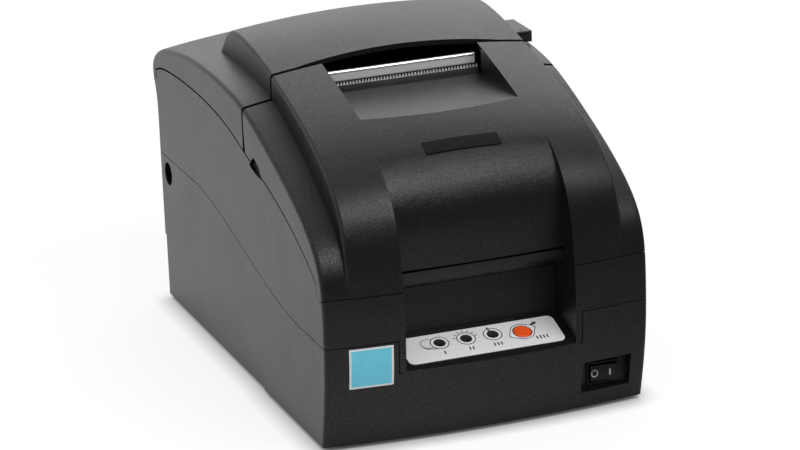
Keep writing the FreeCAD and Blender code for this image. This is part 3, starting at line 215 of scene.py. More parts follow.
def ring_plate(outer, inner, low, high):
    """A bmesh plate between two outlines with the same number of points."""
    shape = bmesh.new()
    rings = [[shape.verts.new((x, y, z)) for x, y in line]
             for line, z in ((outer, low), (outer, high), (inner, high), (inner, low))]
    count = len(outer)
    for first, second in zip(rings, rings[1:] + rings[:1]):
        for k in range(count):
            after = (k + 1) % count
            shape.faces.new((first[k], first[after], second[after], second[k]))
    bmesh.ops.recalc_face_normals(shape, faces=shape.faces)
    return shape


def circle(radius, count=48):
    """Points of a circle, anticlockwise."""
    turns = [2 * math.pi * k / count for k in range(count)]
    return [(radius * math.cos(a), radius * math.sin(a)) for a in turns]


def rounded_box(half_x, half_y, corner, steps=6):
    """Points of a rectangle with rounded corners, anticlockwise."""
    points = []
    for quarter, (sx, sy) in enumerate(((1, 1), (-1, 1), (-1, -1), (1, -1))):
        for k in range(steps + 1):
            a = math.pi / 2 * (quarter + k / steps)
            points.append((sx * (half_x - corner) + corner * math.cos(a),
                           sy * (half_y - corner) + corner * math.sin(a)))
    return points


def turned_shape(profile, count=48):
    """A bmesh turned about Z from a profile of radius and height, closed at both ends."""
    shape = bmesh.new()
    rings = []
    for radius, height in profile:
        if radius < 1e-9:
            rings.append([shape.verts.new((0, 0, height))])
        else:
            rings.append([shape.verts.new((x, y, height)) for x, y in circle(radius, count)])
    for low, high in zip(rings, rings[1:]):
        for k in range(count):
            after = (k + 1) % count
            corners = [low[k % len(low)], low[after % len(low)], high[after % len(high)], high[k % len(high)]]
            unique = list(dict.fromkeys(corners))
            if len(unique) > 2:
                shape.faces.new(unique)
    for ring in (rings[0], rings[-1]):
        if len(ring) > 2:
            shape.faces.new(ring)
    bmesh.ops.recalc_face_normals(shape, faces=shape.faces)
    return shape


def add_shape(target, part, place=None):
    """Adds one bmesh to another, moved by a matrix."""
    if place is not None:
        bmesh.ops.transform(part, matrix=place, verts=part.verts)
    mesh = bpy.data.meshes.new("part")
    part.to_mesh(mesh)
    part.free()
    target.from_mesh(mesh)
    bpy.data.meshes.remove(mesh)
    return target


def polygon_plate(points, thick):
    """A thin plate with a flat outline given in millimetres, standing on Z = 0."""
    return outline_plate(in_metres(points), 0.0, thick)


def bar_plate(half_x, low_y, high_y, thick):
    """A thin upright bar given in millimetres, standing on Z = 0."""
    return polygon_plate([(-half_x, low_y), (half_x, low_y), (half_x, high_y), (-half_x, high_y)], thick)


def printed(name, drawings, finish, body):
    """One piece out of several thin drawings, each a bmesh with its matrix."""
    whole = bmesh.new()
    for drawing, place in drawings:
        add_shape(whole, drawing, place)
    return hand_over(piece_from(name, whole), finish, body=body)


def on_panel(x, distance, lift=0.0):
    """Matrix from flat drawing space to a place on the sloping operation panel."""
    tilt = math.atan(PANEL_SLOPE)
    turn = Matrix.Rotation(tilt, 4, "X")
    foot = Vector((x * MM, behind(distance), PANEL_HEIGHT + PANEL_SLOPE * distance * MM))
    normal = Vector((0, -math.sin(tilt), math.cos(tilt)))
    return Matrix.Translation(foot + normal * lift) @ turn


# ---- finishes


def add_node(tree, kind, links=(), **settings):
    """Adds a node. Settings are properties, and links join sockets or values to its inputs."""
    node = tree.nodes.new(kind)
    for key, value in settings.items():
        setattr(node, key, value)
    for socket, source in dict(links).items():
        if isinstance(source, bpy.types.NodeSocket):
            tree.links.new(source, node.inputs[socket])
        else:
            node.inputs[socket].default_value = source
    return node


def maths(tree, operation, first, second=0.0):
    """One sum of two sockets or plain numbers."""
    return add_node(tree, "ShaderNodeMath", {0: first, 1: second}, operation=operation).outputs[0]


def fade(tree, value, reach, levels):
    """A level that runs evenly from one to another along a value."""
    return add_node(tree, "ShaderNodeMapRange", {
        "Value": value, "From Min": reach[0], "From Max": reach[1], "To Min": levels[0],
        "To Max": levels[1]}).outputs["Result"]


def axes_of(tree, place):
    """The X, Y and Z of a place, by name."""
    return add_node(tree, "ShaderNodeSeparateXYZ", {"Vector": place}).outputs


class Finish:
    """A node material with one Principled shader."""

    def __init__(self, name):
        self.material = bpy.data.materials.new(name)
        self.material.use_nodes = True
        self.tree = self.material.node_tree
        self.tree.nodes.clear()
        out = self.tree.nodes.new("ShaderNodeOutputMaterial")
        self.shader = self.tree.nodes.new("ShaderNodeBsdfPrincipled")
        self.tree.links.new(self.shader.outputs["BSDF"], out.inputs["Surface"])
        self.place = self.tree.nodes.new("ShaderNodeTexCoord").outputs["Object"]

    def put(self, **values):
        """Sets values on the shader's own sockets."""
        for name, value in values.items():
            self.shader.inputs[name.replace("_", " ")].default_value = value
        return self

    def noise(self, size, detail=2.0, rough=0.5, stretch=(1, 1, 1)):
        """A noise whose grains are about the given size in metres."""
        mapping = add_node(self.tree, "ShaderNodeMapping", {"Vector": self.place, "Scale": stretch})
        return add_node(self.tree, "ShaderNodeTexNoise", {
            "Vector": mapping.outputs["Vector"], "Scale": 1.0 / size, "Detail": detail,
            "Roughness": rough}).outputs["Fac"]

    def ramp(self, value, stops):
        """Colours or greys along a value."""
        node = add_node(self.tree, "ShaderNodeValToRGB", {"Fac": value})
        while len(node.color_ramp.elements) < len(stops):
            node.color_ramp.elements.new(0.5)
        for element, (position, colour) in zip(node.color_ramp.elements, stops):
            element.position = position
            element.color = (*colour, 1.0)
        return node.outputs["Color"]

    def colour(self, output):
        """Links a colour to the shader."""
        self.tree.links.new(output, self.shader.inputs["Base Color"])

    def drift(self, colour, spread, size, detail=2.0, light_from=0.7):
        """Spots that drift between a darker and a lighter version of a colour."""
        dark, light = shades(colour, spread)
        return self.ramp(self.noise(size, detail), [(0.3, dark), (light_from, light)])

    def span(self, value, low, high, start=0.3, end=0.7):
        """A value spread over a range."""
        return fade(self.tree, value, (start, end), (low, high))

    def roughness(self, low, high, value):
        """Spreads the roughness between two levels, by a value or by spots of a size."""
        if not isinstance(value, bpy.types.NodeSocket):
            value = self.noise(value)
        self.tree.links.new(self.span(value, low, high), self.shader.inputs["Roughness"])

    def bump(self, height, depth):
        """Adds a relief of the given depth in metres."""
        node = add_node(self.tree, "ShaderNodeBump", {"Strength": 1.0, "Distance": depth, "Height": height})
        self.tree.links.new(node.outputs["Normal"], self.shader.inputs["Normal"])


def shades(colour, spread):
    """A darker and a lighter version of a colour."""
    return tuple(c * (1 - spread) for c in colour), tuple(min(1.0, c * (1 + spread)) for c in colour)


def moulded(name, colour, gloss, grain, depth, spread=0.12, sheen=0.5, fleck=0.0):
    """Moulded plastic with a fine spark-eroded grain, whose sheen may vary from pit to pit."""
    finish = Finish(name).put(IOR=1.5, Specular_IOR_Level=sheen)
    finish.colour(finish.drift(colour, spread, grain * 1.6, 3.0))
    finish.roughness(gloss - 0.01, gloss + 0.02, 22 * MM)
    finish.bump(finish.noise(grain, 3.0, 0.6), depth)
    if fleck:
        low, high = sheen * (1 - fleck), sheen * (1 + fleck)
        pits = finish.span(finish.noise(grain * 1.2, 1.0), low, high, 0.35, 0.65)
        finish.tree.links.new(pits, finish.shader.inputs["Specular IOR Level"])
    return finish.material


def inked(name, level, gloss, sheen=0.5):
    """Even dark print or paint without a grain that shows."""
    return moulded(name, (level, level, level), gloss, 0.3 * MM, 0.002 * MM, sheen=sheen)


def painted_square(name, field, border, centre, half, margin):
    """Printed square with a plain border, on a case face that looks along Y."""
    finish = Finish(name).put(IOR=1.5, Coat_Weight=0.4)
    tree = finish.tree
    place = axes_of(tree, finish.place)
    inside = []
    for axis, middle, reach in (("X", centre[0], half[0]), ("Z", centre[2], half[2])):
        offset = maths(tree, "SUBTRACT", place[axis], middle)
        inside.append(maths(tree, "LESS_THAN", maths(tree, "ABSOLUTE", offset), reach - margin))
    tint = finish.drift(field, 0.03, 3 * MM, 3.0)
    mix = add_node(tree, "ShaderNodeMix", {
        "Factor": maths(tree, "MULTIPLY", *inside), "A": (*border, 1), "B": tint}, data_type="RGBA")
    finish.colour(mix.outputs["Result"])
    finish.roughness(0.3, 0.4, 5 * MM)
    finish.bump(finish.noise(1.2 * MM), 0.004 * MM)
    return finish.material


def sheet_with_painted_shade(name, plate_colour, shade, level):
    """Painted sheet whose lower part, below a level, gets a painted shade."""
    finish = Finish(name).put(IOR=1.5)
    height = axes_of(finish.tree, finish.place)["Z"]
    # Below the level the colour turns to the shade colour: a painted shade.
    above = finish.span(height, 0.0, 1.0, level - 0.4 * MM, level + 0.4 * MM)
    finish.colour(finish.ramp(above, [(0.0, shade), (1.0, plate_colour)]))
    finish.roughness(0.3, 0.42, 4 * MM)
    finish.bump(finish.noise(0.5 * MM), 0.006 * MM)
    return finish.material


def metal(name, colour, rough=0.3, stretch=(1, 1, 1)):
    """Drawn or rolled metal with fine lines along the stretch."""
    finish = Finish(name).put(Metallic=1.0)
    finish.colour(finish.drift(colour, 0.1, 6 * MM, 3.0))
    grain = finish.noise(0.6 * MM, 3.0, 0.6, stretch)
    finish.roughness(rough - 0.06, rough + 0.1, grain)
    finish.bump(grain, 0.004 * MM)
    return finish.material


def plain(name, tint, rough, relief, depth, **values):
    """A finish out of drifting colour, drifting roughness and one fine relief."""
    finish = Finish(name).put(**values)
    finish.colour(finish.drift(*tint))
    finish.roughness(*rough)
    finish.bump(finish.noise(*relief), depth)
    return finish.material


def rubber(name, colour):
    """Soft matt rubber with a slight bloom."""
    return plain(name, (colour, 0.25, 3 * MM, 4.0, 0.75), (0.72, 0.9, 5 * MM), (0.5 * MM,), 0.02 * MM,
                 IOR=1.45)


def film(name, colour, speckle):
    """Printed film with a metallic fleck."""
    finish = Finish(name).put(IOR=1.5)
    dark, light = shades(colour, speckle)
    fleck = finish.noise(0.5 * MM, 2.0, 0.6)
    finish.colour(finish.ramp(fleck, [(0.35, dark), (0.5, colour), (0.68, light)]))
    finish.roughness(0.3, 0.43, 8 * MM)
    finish.bump(finish.noise(1.5 * MM), 0.005 * MM)
    return finish.material


def lens(name, colour, rough=0.12):
    """Dark smoked lens."""
    return plain(name, (colour, 0.3, 2 * MM), (rough, rough + 0.06, 1 * MM), (0.8 * MM,), 0.003 * MM,
                 IOR=1.5, Coat_Weight=0.6)


def laminate(name, colour):
    """Circuit board with solder mask over faint copper lines."""
    finish = Finish(name).put(IOR=1.5)
    dark, light = shades(colour, 0.2)
    copper = [min(1, c * 1.9 + 0.01) for c in light]
    lines = add_node(finish.tree, "ShaderNodeTexBrick", {
        "Vector": finish.place, "Scale": 1.0, "Brick Width": 7.0 * MM, "Row Height": 1.3 * MM,
        "Mortar Size": 0.14 * MM, "Color1": (*dark, 1), "Color2": (*colour, 1), "Mortar": (*copper, 1)})
    finish.colour(lines.outputs["Color"])
    finish.roughness(0.35, 0.5, 3 * MM)
    finish.bump(lines.outputs["Fac"], 0.03 * MM)
    return finish.material


def woven(name, colour):
    """Closely woven ribbon soaked with ink."""
    return plain(name, (colour, 0.5, 0.4 * MM), (0.6, 0.85, 2 * MM), (0.3 * MM, 1.0), 0.03 * MM, IOR=1.4)


# ---- sizes and colours


class PrinterLooks(PropertyGroup):
    """Sizes and colours that a user would change."""

    case_colour: FloatVectorProperty(
        name="Case colour", description="Moulded plastic of the case and covers", subtype="COLOR",
        size=3, min=0, max=1, default=(0.0062, 0.0062, 0.0066))
    button_colour: FloatVectorProperty(
        name="Button colour", description="Cap of the feed button", subtype="COLOR",
        size=3, min=0, max=1, default=(0.83, 0.09, 0.012))
    sticker_colour: FloatVectorProperty(
        name="Sticker colour", description="Field of the square sticker", subtype="COLOR",
        size=3, min=0, max=1, default=(0.16, 0.72, 0.92))
    film_colour: FloatVectorProperty(
        name="Panel colour", description="Film of the operation panel", subtype="COLOR",
        size=3, min=0, max=1, default=(0.72, 0.72, 0.74))
    grain_size: FloatProperty(
        name="Grain size", description="Size of the grain of the case", unit="LENGTH",
        default=0.62 * MM, min=0.1 * MM, max=2 * MM)
    grain_depth: FloatProperty(
        name="Grain depth", description="Depth of the grain of the case", unit="LENGTH",
        default=0.16 * MM, min=0, max=0.5 * MM)
    edge_width: FloatProperty(
        name="Edge rounding", description="Rounding of the seams and edges of the case", unit="LENGTH",
        default=0.42 * MM, min=0.05 * MM, max=0.6 * MM)
    tooth_count: IntProperty(
        name="Teeth", description="Number of teeth on the tear bar", default=50, min=10, max=120)
    tooth_height: FloatProperty(
        name="Tooth height", description="Height of a tooth of the tear bar", unit="LENGTH",
        default=1.3 * MM, min=0.3 * MM, max=3 * MM)
    light_level: FloatProperty(
        name="Light level", description="Strength of the lamps beside one for a plain level",
        default=1.0, min=0.1, max=4)


def looks():
    """The sizes and colours of the open scene."""
    return bpy.context.scene.receipt_printer


# ---- geometry node trees


class Growth:
    """A geometry node tree with named inputs that grows a mesh by a rule."""

    def __init__(self, name):
        self.tree = bpy.data.node_groups.new(name, "GeometryNodeTree")
        self.tree.interface.new_socket("Geometry", in_out="OUTPUT", socket_type="NodeSocketGeometry")
        self.entry = self.tree.nodes.new("NodeGroupInput")
        self.names = {}

    def size(self, name, kind):
        """A named input of the tree."""
        socket = self.tree.interface.new_socket(name, in_out="INPUT", socket_type=kind)
        self.names[name] = socket.identifier
        return self.entry.outputs[name]

    def sizes(self, *names, kind="NodeSocketFloat"):
        """Several named inputs of one kind."""
        return [self.size(name, kind) for name in names]

    def node(self, kind, links=(), **settings):
        """Adds a node to the tree."""
        return add_node(self.tree, kind, links, **settings)

    def maths(self, operation, first, second):
        """One sum with two values."""
        return maths(self.tree, operation, first, second)

    def times(self, first, second):
        """The product of two values."""
        return self.maths("MULTIPLY", first, second)

    def vector(self, **parts):
        """A vector out of X, Y and Z."""
        return self.node("ShaderNodeCombineXYZ", parts).outputs[0]

    def moved(self, geometry, **settings):
        """A geometry moved, turned or scaled."""
        return self.node("GeometryNodeTransform", {"Geometry": geometry, **settings}).outputs["Geometry"]

    def block(self, size):
        """A box of a size."""
        return self.node("GeometryNodeMeshCube", {"Size": size}).outputs["Mesh"]

    def grid(self, wide, tall, across, up):
        """Points in rows across a rectangle."""
        return self.node("GeometryNodeMeshGrid", {
            "Size X": wide, "Size Y": tall, "Vertices X": across, "Vertices Y": up}).outputs["Mesh"]

    def on_points(self, points, instance, **settings):
        """A copy of a geometry on every point."""
        return self.node("GeometryNodeInstanceOnPoints", {
            "Points": points, "Instance": instance, **settings}).outputs["Instances"]

    def grow(self, name, geometry, finish, values):
        """Runs the tree once and returns the result as a plain mesh object."""
        real = self.node("GeometryNodeRealizeInstances", {"Geometry": geometry})
        painted = self.node("GeometryNodeSetMaterial", {
            "Geometry": real.outputs["Geometry"], "Material": finish})
        end = self.tree.nodes.new("NodeGroupOutput")
        self.tree.links.new(painted.outputs["Geometry"], end.inputs["Geometry"])
        host = shown(name, bpy.data.meshes.new(name))
        modifier = host.modifiers.new("Growth", "NODES")
        modifier.node_group = self.tree
        for key, value in values.items():
            modifier[self.names[key]] = value
        ready = host.evaluated_get(bpy.context.evaluated_depsgraph_get())
        mesh = bpy.data.meshes.new_from_object(ready)
        host.modifiers.remove(modifier)
        if not mesh.polygons:
            raise RuntimeError(name + " grew no faces")
        host.data = mesh
        return host


# ---- operators


class PRINTER_OT_shells(Operator):
    """Dresses the case halves and the two covers in grained plastic"""

    bl_idname = "printer.shells"
    bl_label = "Case and covers"

    @staticmethod
    def soft_zone(place):
        """Smooth up to a large angle on the rounded long edges, and to a small one elsewhere."""
        side = abs(place.x) / MM
        return 40 if side > 77 or (60 < side < 68.5 and place.z > 95 * MM) else 15

    def execute(self, context):
        chosen = looks()
        plastic = moulded("case_plastic", chosen.case_colour[:], gloss=0.3, grain=chosen.grain_size,
                          depth=chosen.grain_depth, sheen=0.27, fleck=0.24)
        for node in ("lower_case", "upper_case", "front_cover", "paper_cover"):
            dressed_copy(node, plastic, self.soft_zone, chosen.edge_width)
        return {"FINISHED"}


class PRINTER_OT_panel(Operator):
    """Prints the rings and symbols of the operation panel, paints a highlight along the label's edge, and
    dresses its film and lamps
    """

    bl_idname = "printer.panel"
    bl_label = "Operation panel"

    LAMPS = (-19.8, -6.6, 6.6)
    LAMP_BACK = 12.1                # middle of the lamps, behind the front edge
    BARS = (*LAMPS, 28.6)           # where the rows of one to four bars stand
    BARS_BACK = 4.9
    LABEL_BACK = 9.4
    LABEL_HALF = (38.8, 9.87)
    LABEL_CORNER = 3.0
    EDGE_HIGHLIGHT = 0.4                    # width of the white line round the label, a painted highlight on the film's edge

    def lay(self, ink, shape, x, distance, degrees=0.0):
        """Puts a drawing on the film, turned about a place."""
        ink.append((shape, on_panel(x, distance, FILM) @ Matrix.Rotation(math.radians(degrees), 4, "Z")))

    def label_edge(self, inset):
        """Outline of the label, or of a line inside it."""
        return rounded_box(*[(size - inset) * MM for size in (*self.LABEL_HALF, self.LABEL_CORNER)])

    def lamp_marks(self, white, black):
        """A ring round each lamp, a roll beside the first, rays over the second, a tick over the third."""
        for x in self.LAMPS:
            for ink, outer, inner in ((white, 4.2, 2.95), (black, 4.6, 4.1)):
                ring = ring_plate(circle(outer * MM), circle(inner * MM), 0.0, INK)
                self.lay(ink, ring, x, self.LAMP_BACK)
        roll, rays, tick = self.LAMPS
        turns = [math.radians(50 + 260 * k / 30) for k in range(31)]
        outer, inner = ([(r * math.cos(a), r * math.sin(a)) for a in turns] for r in (3.536, 3.1824))
        self.lay(black, polygon_plate(outer + inner[::-1], INK), roll - 5.6, self.LAMP_BACK + 0.6)
        tail = [(-7.9, -1.0), (-4.5, -3.2), (0.5, -4.15), (0.5, -4.5), (-4.8, -3.75)]
        self.lay(black, polygon_plate(tail, INK), roll - 2.2, self.LAMP_BACK + 0.2)
        for k in range(7):
            ray = polygon_plate([(-0.24, 4.95), (0.24, 4.95), (0.2, 6.3), (-0.2, 6.3)], INK)
            self.lay(black, ray, rays, self.LAMP_BACK, -75 + 25 * k)
        self.lay(black, bar_plate(0.42, 2.9, 5.5, INK * 1.6), tick, self.LAMP_BACK, 12)

    def button_marks(self, white, black):
        """A field with two points round the button, and an arrow beside it."""
        field = []
        for k in range(48):
            a = 2 * math.pi * k / 48
            radius = 5.9 * (1 + 0.3 * max(0.0, math.cos(2 * (a - math.radians(20)))) ** 5)
            field.append((radius * math.cos(a), radius * math.sin(a)))
        outer = in_metres(field)
        inner = [(x * 0.93, y * 0.93) for x, y in outer]
        self.lay(black, ring_plate(outer, inner, 0.0, INK), *BUTTON)
        self.lay(white, ring_plate(inner, circle(4.85 * MM), 0.0, INK), *BUTTON)
        arrow = [(-1.7, -0.55), (0.1, -0.55), (0.1, -1.35), (2.0, 0.0), (0.1, 1.35), (0.1, 0.55),
                 (-1.7, 0.55)]
        self.lay(black, polygon_plate(arrow, INK), 28.1, 15.0, 28)

    def execute(self, context):
        white, black = [], []
        # The white line round the label is a painted highlight on the film's edge, laid in the white ink with
        # the print.
        edge = ring_plate(self.label_edge(0.0), self.label_edge(self.EDGE_HIGHLIGHT), 0.0, INK)
        self.lay(white, edge, 0, self.LABEL_BACK)
        self.lamp_marks(white, black)
        self.button_marks(white, black)
        for count, x in enumerate(self.BARS, 1):
            for k in range(count):
                aside = 1.7 * (k - (count - 1) / 2)
                self.lay(black, bar_plate(0.35, -1.15, 1.15, INK), x + aside, self.BARS_BACK)
        white_ink_and_highlight = film("white_ink_and_highlight", (0.78, 0.79, 0.8), 0.04)
        printed("panel_white_print_and_highlight", white, white_ink_and_highlight, "base")
        printed("panel_black_print", black, inked("black_ink", 0.006, 0.5, 0.2), "base")
        carried(film("panel_film", looks().film_colour[:], 0.12), "panel_label")
        carried(lens("lamp_lens", (0.012, 0.012, 0.013)), "lamp_windows")
        return {"FINISHED"}


class PRINTER_OT_button(Operator):
    """Makes the orange feed button with its rounded rim and slightly dished top"""

    bl_idname = "printer.button"
    bl_label = "Feed button"

    def execute(self, context):
        finish = plain("button_red", (looks().button_colour[:], 0.05, 2 * MM), (0.32, 0.42, 1.5 * MM),
                       (0.35 * MM,), 0.004 * MM, IOR=1.5, Coat_Weight=0.25)
        top, radius = 0.6, 4.3
        cap = [(0, -3.0), (radius, -3.0), (radius, top - 0.5), (radius - 0.1, top - 0.22),
               (radius - 0.32, top - 0.05), (radius - 0.6, top), (radius - 1.4, top - 0.04),
               (radius - 2.8, top - 0.1), (0, top - 0.12)]
        stem = [(0, -5.6), (1.3, -5.6), (1.5, -5.4), (1.5, -2.9), (0, -2.9)]
        whole = bmesh.new()
        for profile in (cap, stem):
            add_shape(whole, turned_shape(in_metres(profile)), on_panel(*BUTTON))
        piece = piece_from("feed_button_cap", whole, 40)
        even_shading(piece)
        hand_over(piece, finish, "feed_button")
        return {"FINISHED"}


class PRINTER_OT_power_switch(Operator):
    """Rounds the switch's bezel and rocker and prints its two marks"""

    bl_idname = "printer.power_switch"
    bl_label = "Power switch"

    MIDDLE = (59.7, 16.9)           # X and height
    FACE = 7.0                      # dish of the rocker, behind the front edge
    LEFT_SLOPE = 0.4 / 6.6          # slopes of the two halves of the rocker's face
    RIGHT_SLOPE = -1.72 / 6.6

    def on_rocker(self, x, slope):
        """Matrix that stands a drawing up on one half of the rocker's face."""
        turn = Matrix.Rotation(math.atan(slope), 4, "Z") @ Matrix.Rotation(math.radians(90), 4, "X")
        place = Vector(((self.MIDDLE[0] + x) * MM, behind(self.FACE + slope * x), self.MIDDLE[1] * MM))
        return Matrix.Translation(place) @ turn

    def execute(self, context):
        satin = moulded("switch_plastic", (0.006, 0.006, 0.006), gloss=0.36, grain=0.4 * MM, depth=0.004 * MM,
                        sheen=0.2)
        dressed_copy("power_switch", satin, 25, 0.25 * MM)
        dressed_copy("power_rocker", satin, 12, 0.3 * MM)
        thin = 0.05 * MM
        ring = ring_plate(circle(1.95 * MM), circle(1.22 * MM), 0.0, thin)
        drawings = [(ring, self.on_rocker(-4.4, self.LEFT_SLOPE)),
                    (bar_plate(0.42, -1.5, 1.5, thin), self.on_rocker(3.2, self.RIGHT_SLOPE))]
        mark_ink = film("mark_ink", (0.46, 0.46, 0.47), 0.05)
        printed("rocker_marks", drawings, mark_ink, "power_rocker")
        return {"FINISHED"}


class PRINTER_OT_plates(Operator):
    """Finishes the bare name plate and the square sticker"""

    bl_idname = "printer.plates"
    bl_label = "Name plate and sticker"

    def execute(self, context):
        carried(inked("plate_black", 0.004, 0.3, 0.1), "name_plate")
        low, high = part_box("front_sticker")
        half = [(b - a) / 2 for a, b in zip(low, high)]
        square = painted_square("sticker_film", looks().sticker_colour[:], (0.92, 0.93, 0.94),
                                middle_of(low, high), half, 0.9 * MM)
        carried(square, "front_sticker")
        return {"FINISHED"}


class PRINTER_OT_cutter(Operator):
    """Grows the tear bar's teeth and dresses the strip and the paper guide"""

    bl_idname = "printer.cutter"
    bl_label = "Tear bar and paper guide"

    HALF = 39.2 * MM                # half the length of the toothed strip
    THICK = 0.8 * MM
    FOOT = 5.5 * MM                 # height of the wider foot of the strip
    TOOTH_FOOT = 0.594              # side of a tooth's square foot, as a share of the pitch
    SHADE_TOP = 145.4 * MM         # height below which the guide plate gets a painted shade

    def strip(self, steel, low, high, root):
        """The bar itself, a wide foot under a narrower blade."""
        back = low[1] + self.THICK
        whole = bmesh.new()
        step = low[2] + self.FOOT
        for reach, bottom, top in ((self.HALF, step, root), (high[0], low[2], step)):
            outline = [(-reach, low[1]), (reach, low[1]), (reach, back), (-reach, back)]
            add_shape(whole, outline_plate(outline, bottom, top))
        piece = piece_from("tear_strip", whole)
        rounded_edges(piece, 0.12 * MM)
        hand_over(piece, steel, "tear_bar")

    def teeth(self, steel, values):
        """A row of upright pointed teeth."""
        teeth = Growth("Tear bar teeth")
        count = teeth.size("Teeth", "NodeSocketInt")
        reach, height, depth, place_y, place_z = teeth.sizes(
            "Half Width", "Tooth Height", "Thickness", "Place Y", "Root Height")
        pitch = teeth.maths("DIVIDE", teeth.times(reach, 2.0), count)
        first_x = teeth.maths("SUBTRACT", teeth.times(pitch, 0.5), reach)
        centre_z = teeth.maths("ADD", place_z, teeth.times(height, 0.5))
        line = teeth.node("GeometryNodeMeshLine", {
            "Count": count, "Start Location": teeth.vector(X=first_x, Y=place_y, Z=centre_z),
            "Offset": teeth.vector(X=pitch)})
        tooth = teeth.node("GeometryNodeMeshCone", {
            "Vertices": 4, "Radius Top": teeth.times(pitch, 0.2),
            "Radius Bottom": teeth.times(pitch, 0.42), "Depth": height})
        drop = teeth.vector(Z=teeth.times(height, -0.5))
        middle = teeth.moved(tooth.outputs["Mesh"], Translation=drop)
        turned = teeth.moved(middle, Rotation=(0, 0, math.radians(45)))
        share = teeth.maths("DIVIDE", depth, teeth.times(pitch, self.TOOTH_FOOT))
        flat = teeth.moved(turned, Scale=teeth.vector(X=1.0, Y=share, Z=1.0))
        piece = teeth.grow("tear_teeth", teeth.on_points(line.outputs["Mesh"], flat), steel, values)
        hand_over(piece, None, body="base")

    def guide(self):
        """The paint of the guide plate, with a painted shade on its lower part, and the rolled edge along its
        top.
        """
        # The plate's lower part, in the slot behind the tear bar, is darkened as a painted shade.
        paint = sheet_with_painted_shade("guide_paint_and_shade", (0.52, 0.52, 0.525), (0.008, 0.008, 0.008), self.SHADE_TOP)
        carried(paint, "paper_guide_plate")
        low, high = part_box("paper_guide_plate")
        half, radius, soft = self.HALF, 1.25 * MM, 0.1 * MM
        rim = turned_shape([(0, -half), (radius - soft, -half), (radius, -half + soft), (radius, half - soft),
                            (radius - soft, half), (0, half)], 20)
        place = Matrix.Translation(Vector((0, low[1] + 1.2 * MM, high[2] - 1.2 * MM)))
        whole = add_shape(bmesh.new(), rim, place @ Matrix.Rotation(math.radians(90), 4, "Y"))
        bright = metal("rolled_edge", (0.92, 0.92, 0.92), 0.3, (0.1, 1, 1))
        hand_over(piece_from("guide_rolled_edge", whole, 40), bright, body="paper_cover")

    def execute(self, context):
        chosen = looks()
        low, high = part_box("tear_bar")
        root = high[2] - chosen.tooth_height
        self.strip(metal("strip_steel", (0.24, 0.24, 0.25), 0.42, (0.05, 1, 1)), low, high, root)
        self.teeth(metal("tooth_steel", (0.9, 0.9, 0.9), 0.5, (1, 1, 0.2)), {
            "Teeth": chosen.tooth_count, "Half Width": self.HALF, "Tooth Height": chosen.tooth_height,
            "Thickness": self.THICK, "Place Y": low[1] + self.THICK / 2, "Root Height": root})
        self.guide()
        return {"FINISHED"}


class PRINTER_OT_lever(Operator):
    """Rounds the opening lever and prints the mark on its plate"""

    bl_idname = "printer.lever"
    bl_label = "Opening lever"

    def execute(self, context):
        plastic = moulded("lever_plastic", looks().case_colour[:], gloss=0.42, grain=0.4 * MM,
                          depth=0.02 * MM)
        dressed_copy("open_lever", plastic, 25, 0.2 * MM)
        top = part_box("open_lever")[1][2]
        mark = polygon_plate([(-1.5, 1.3), (-1.5, -1.3), (1.6, 0)], 0.04 * MM)
        place = Matrix.Translation(Vector((74.6 * MM, behind(136.6), top)))
        drawings = [(mark, place @ Matrix.Rotation(math.radians(90), 4, "Z"))]
        printed("lever_mark", drawings, inked("lever_mark", 0.004, 0.6), "open_lever")
        return {"FINISHED"}


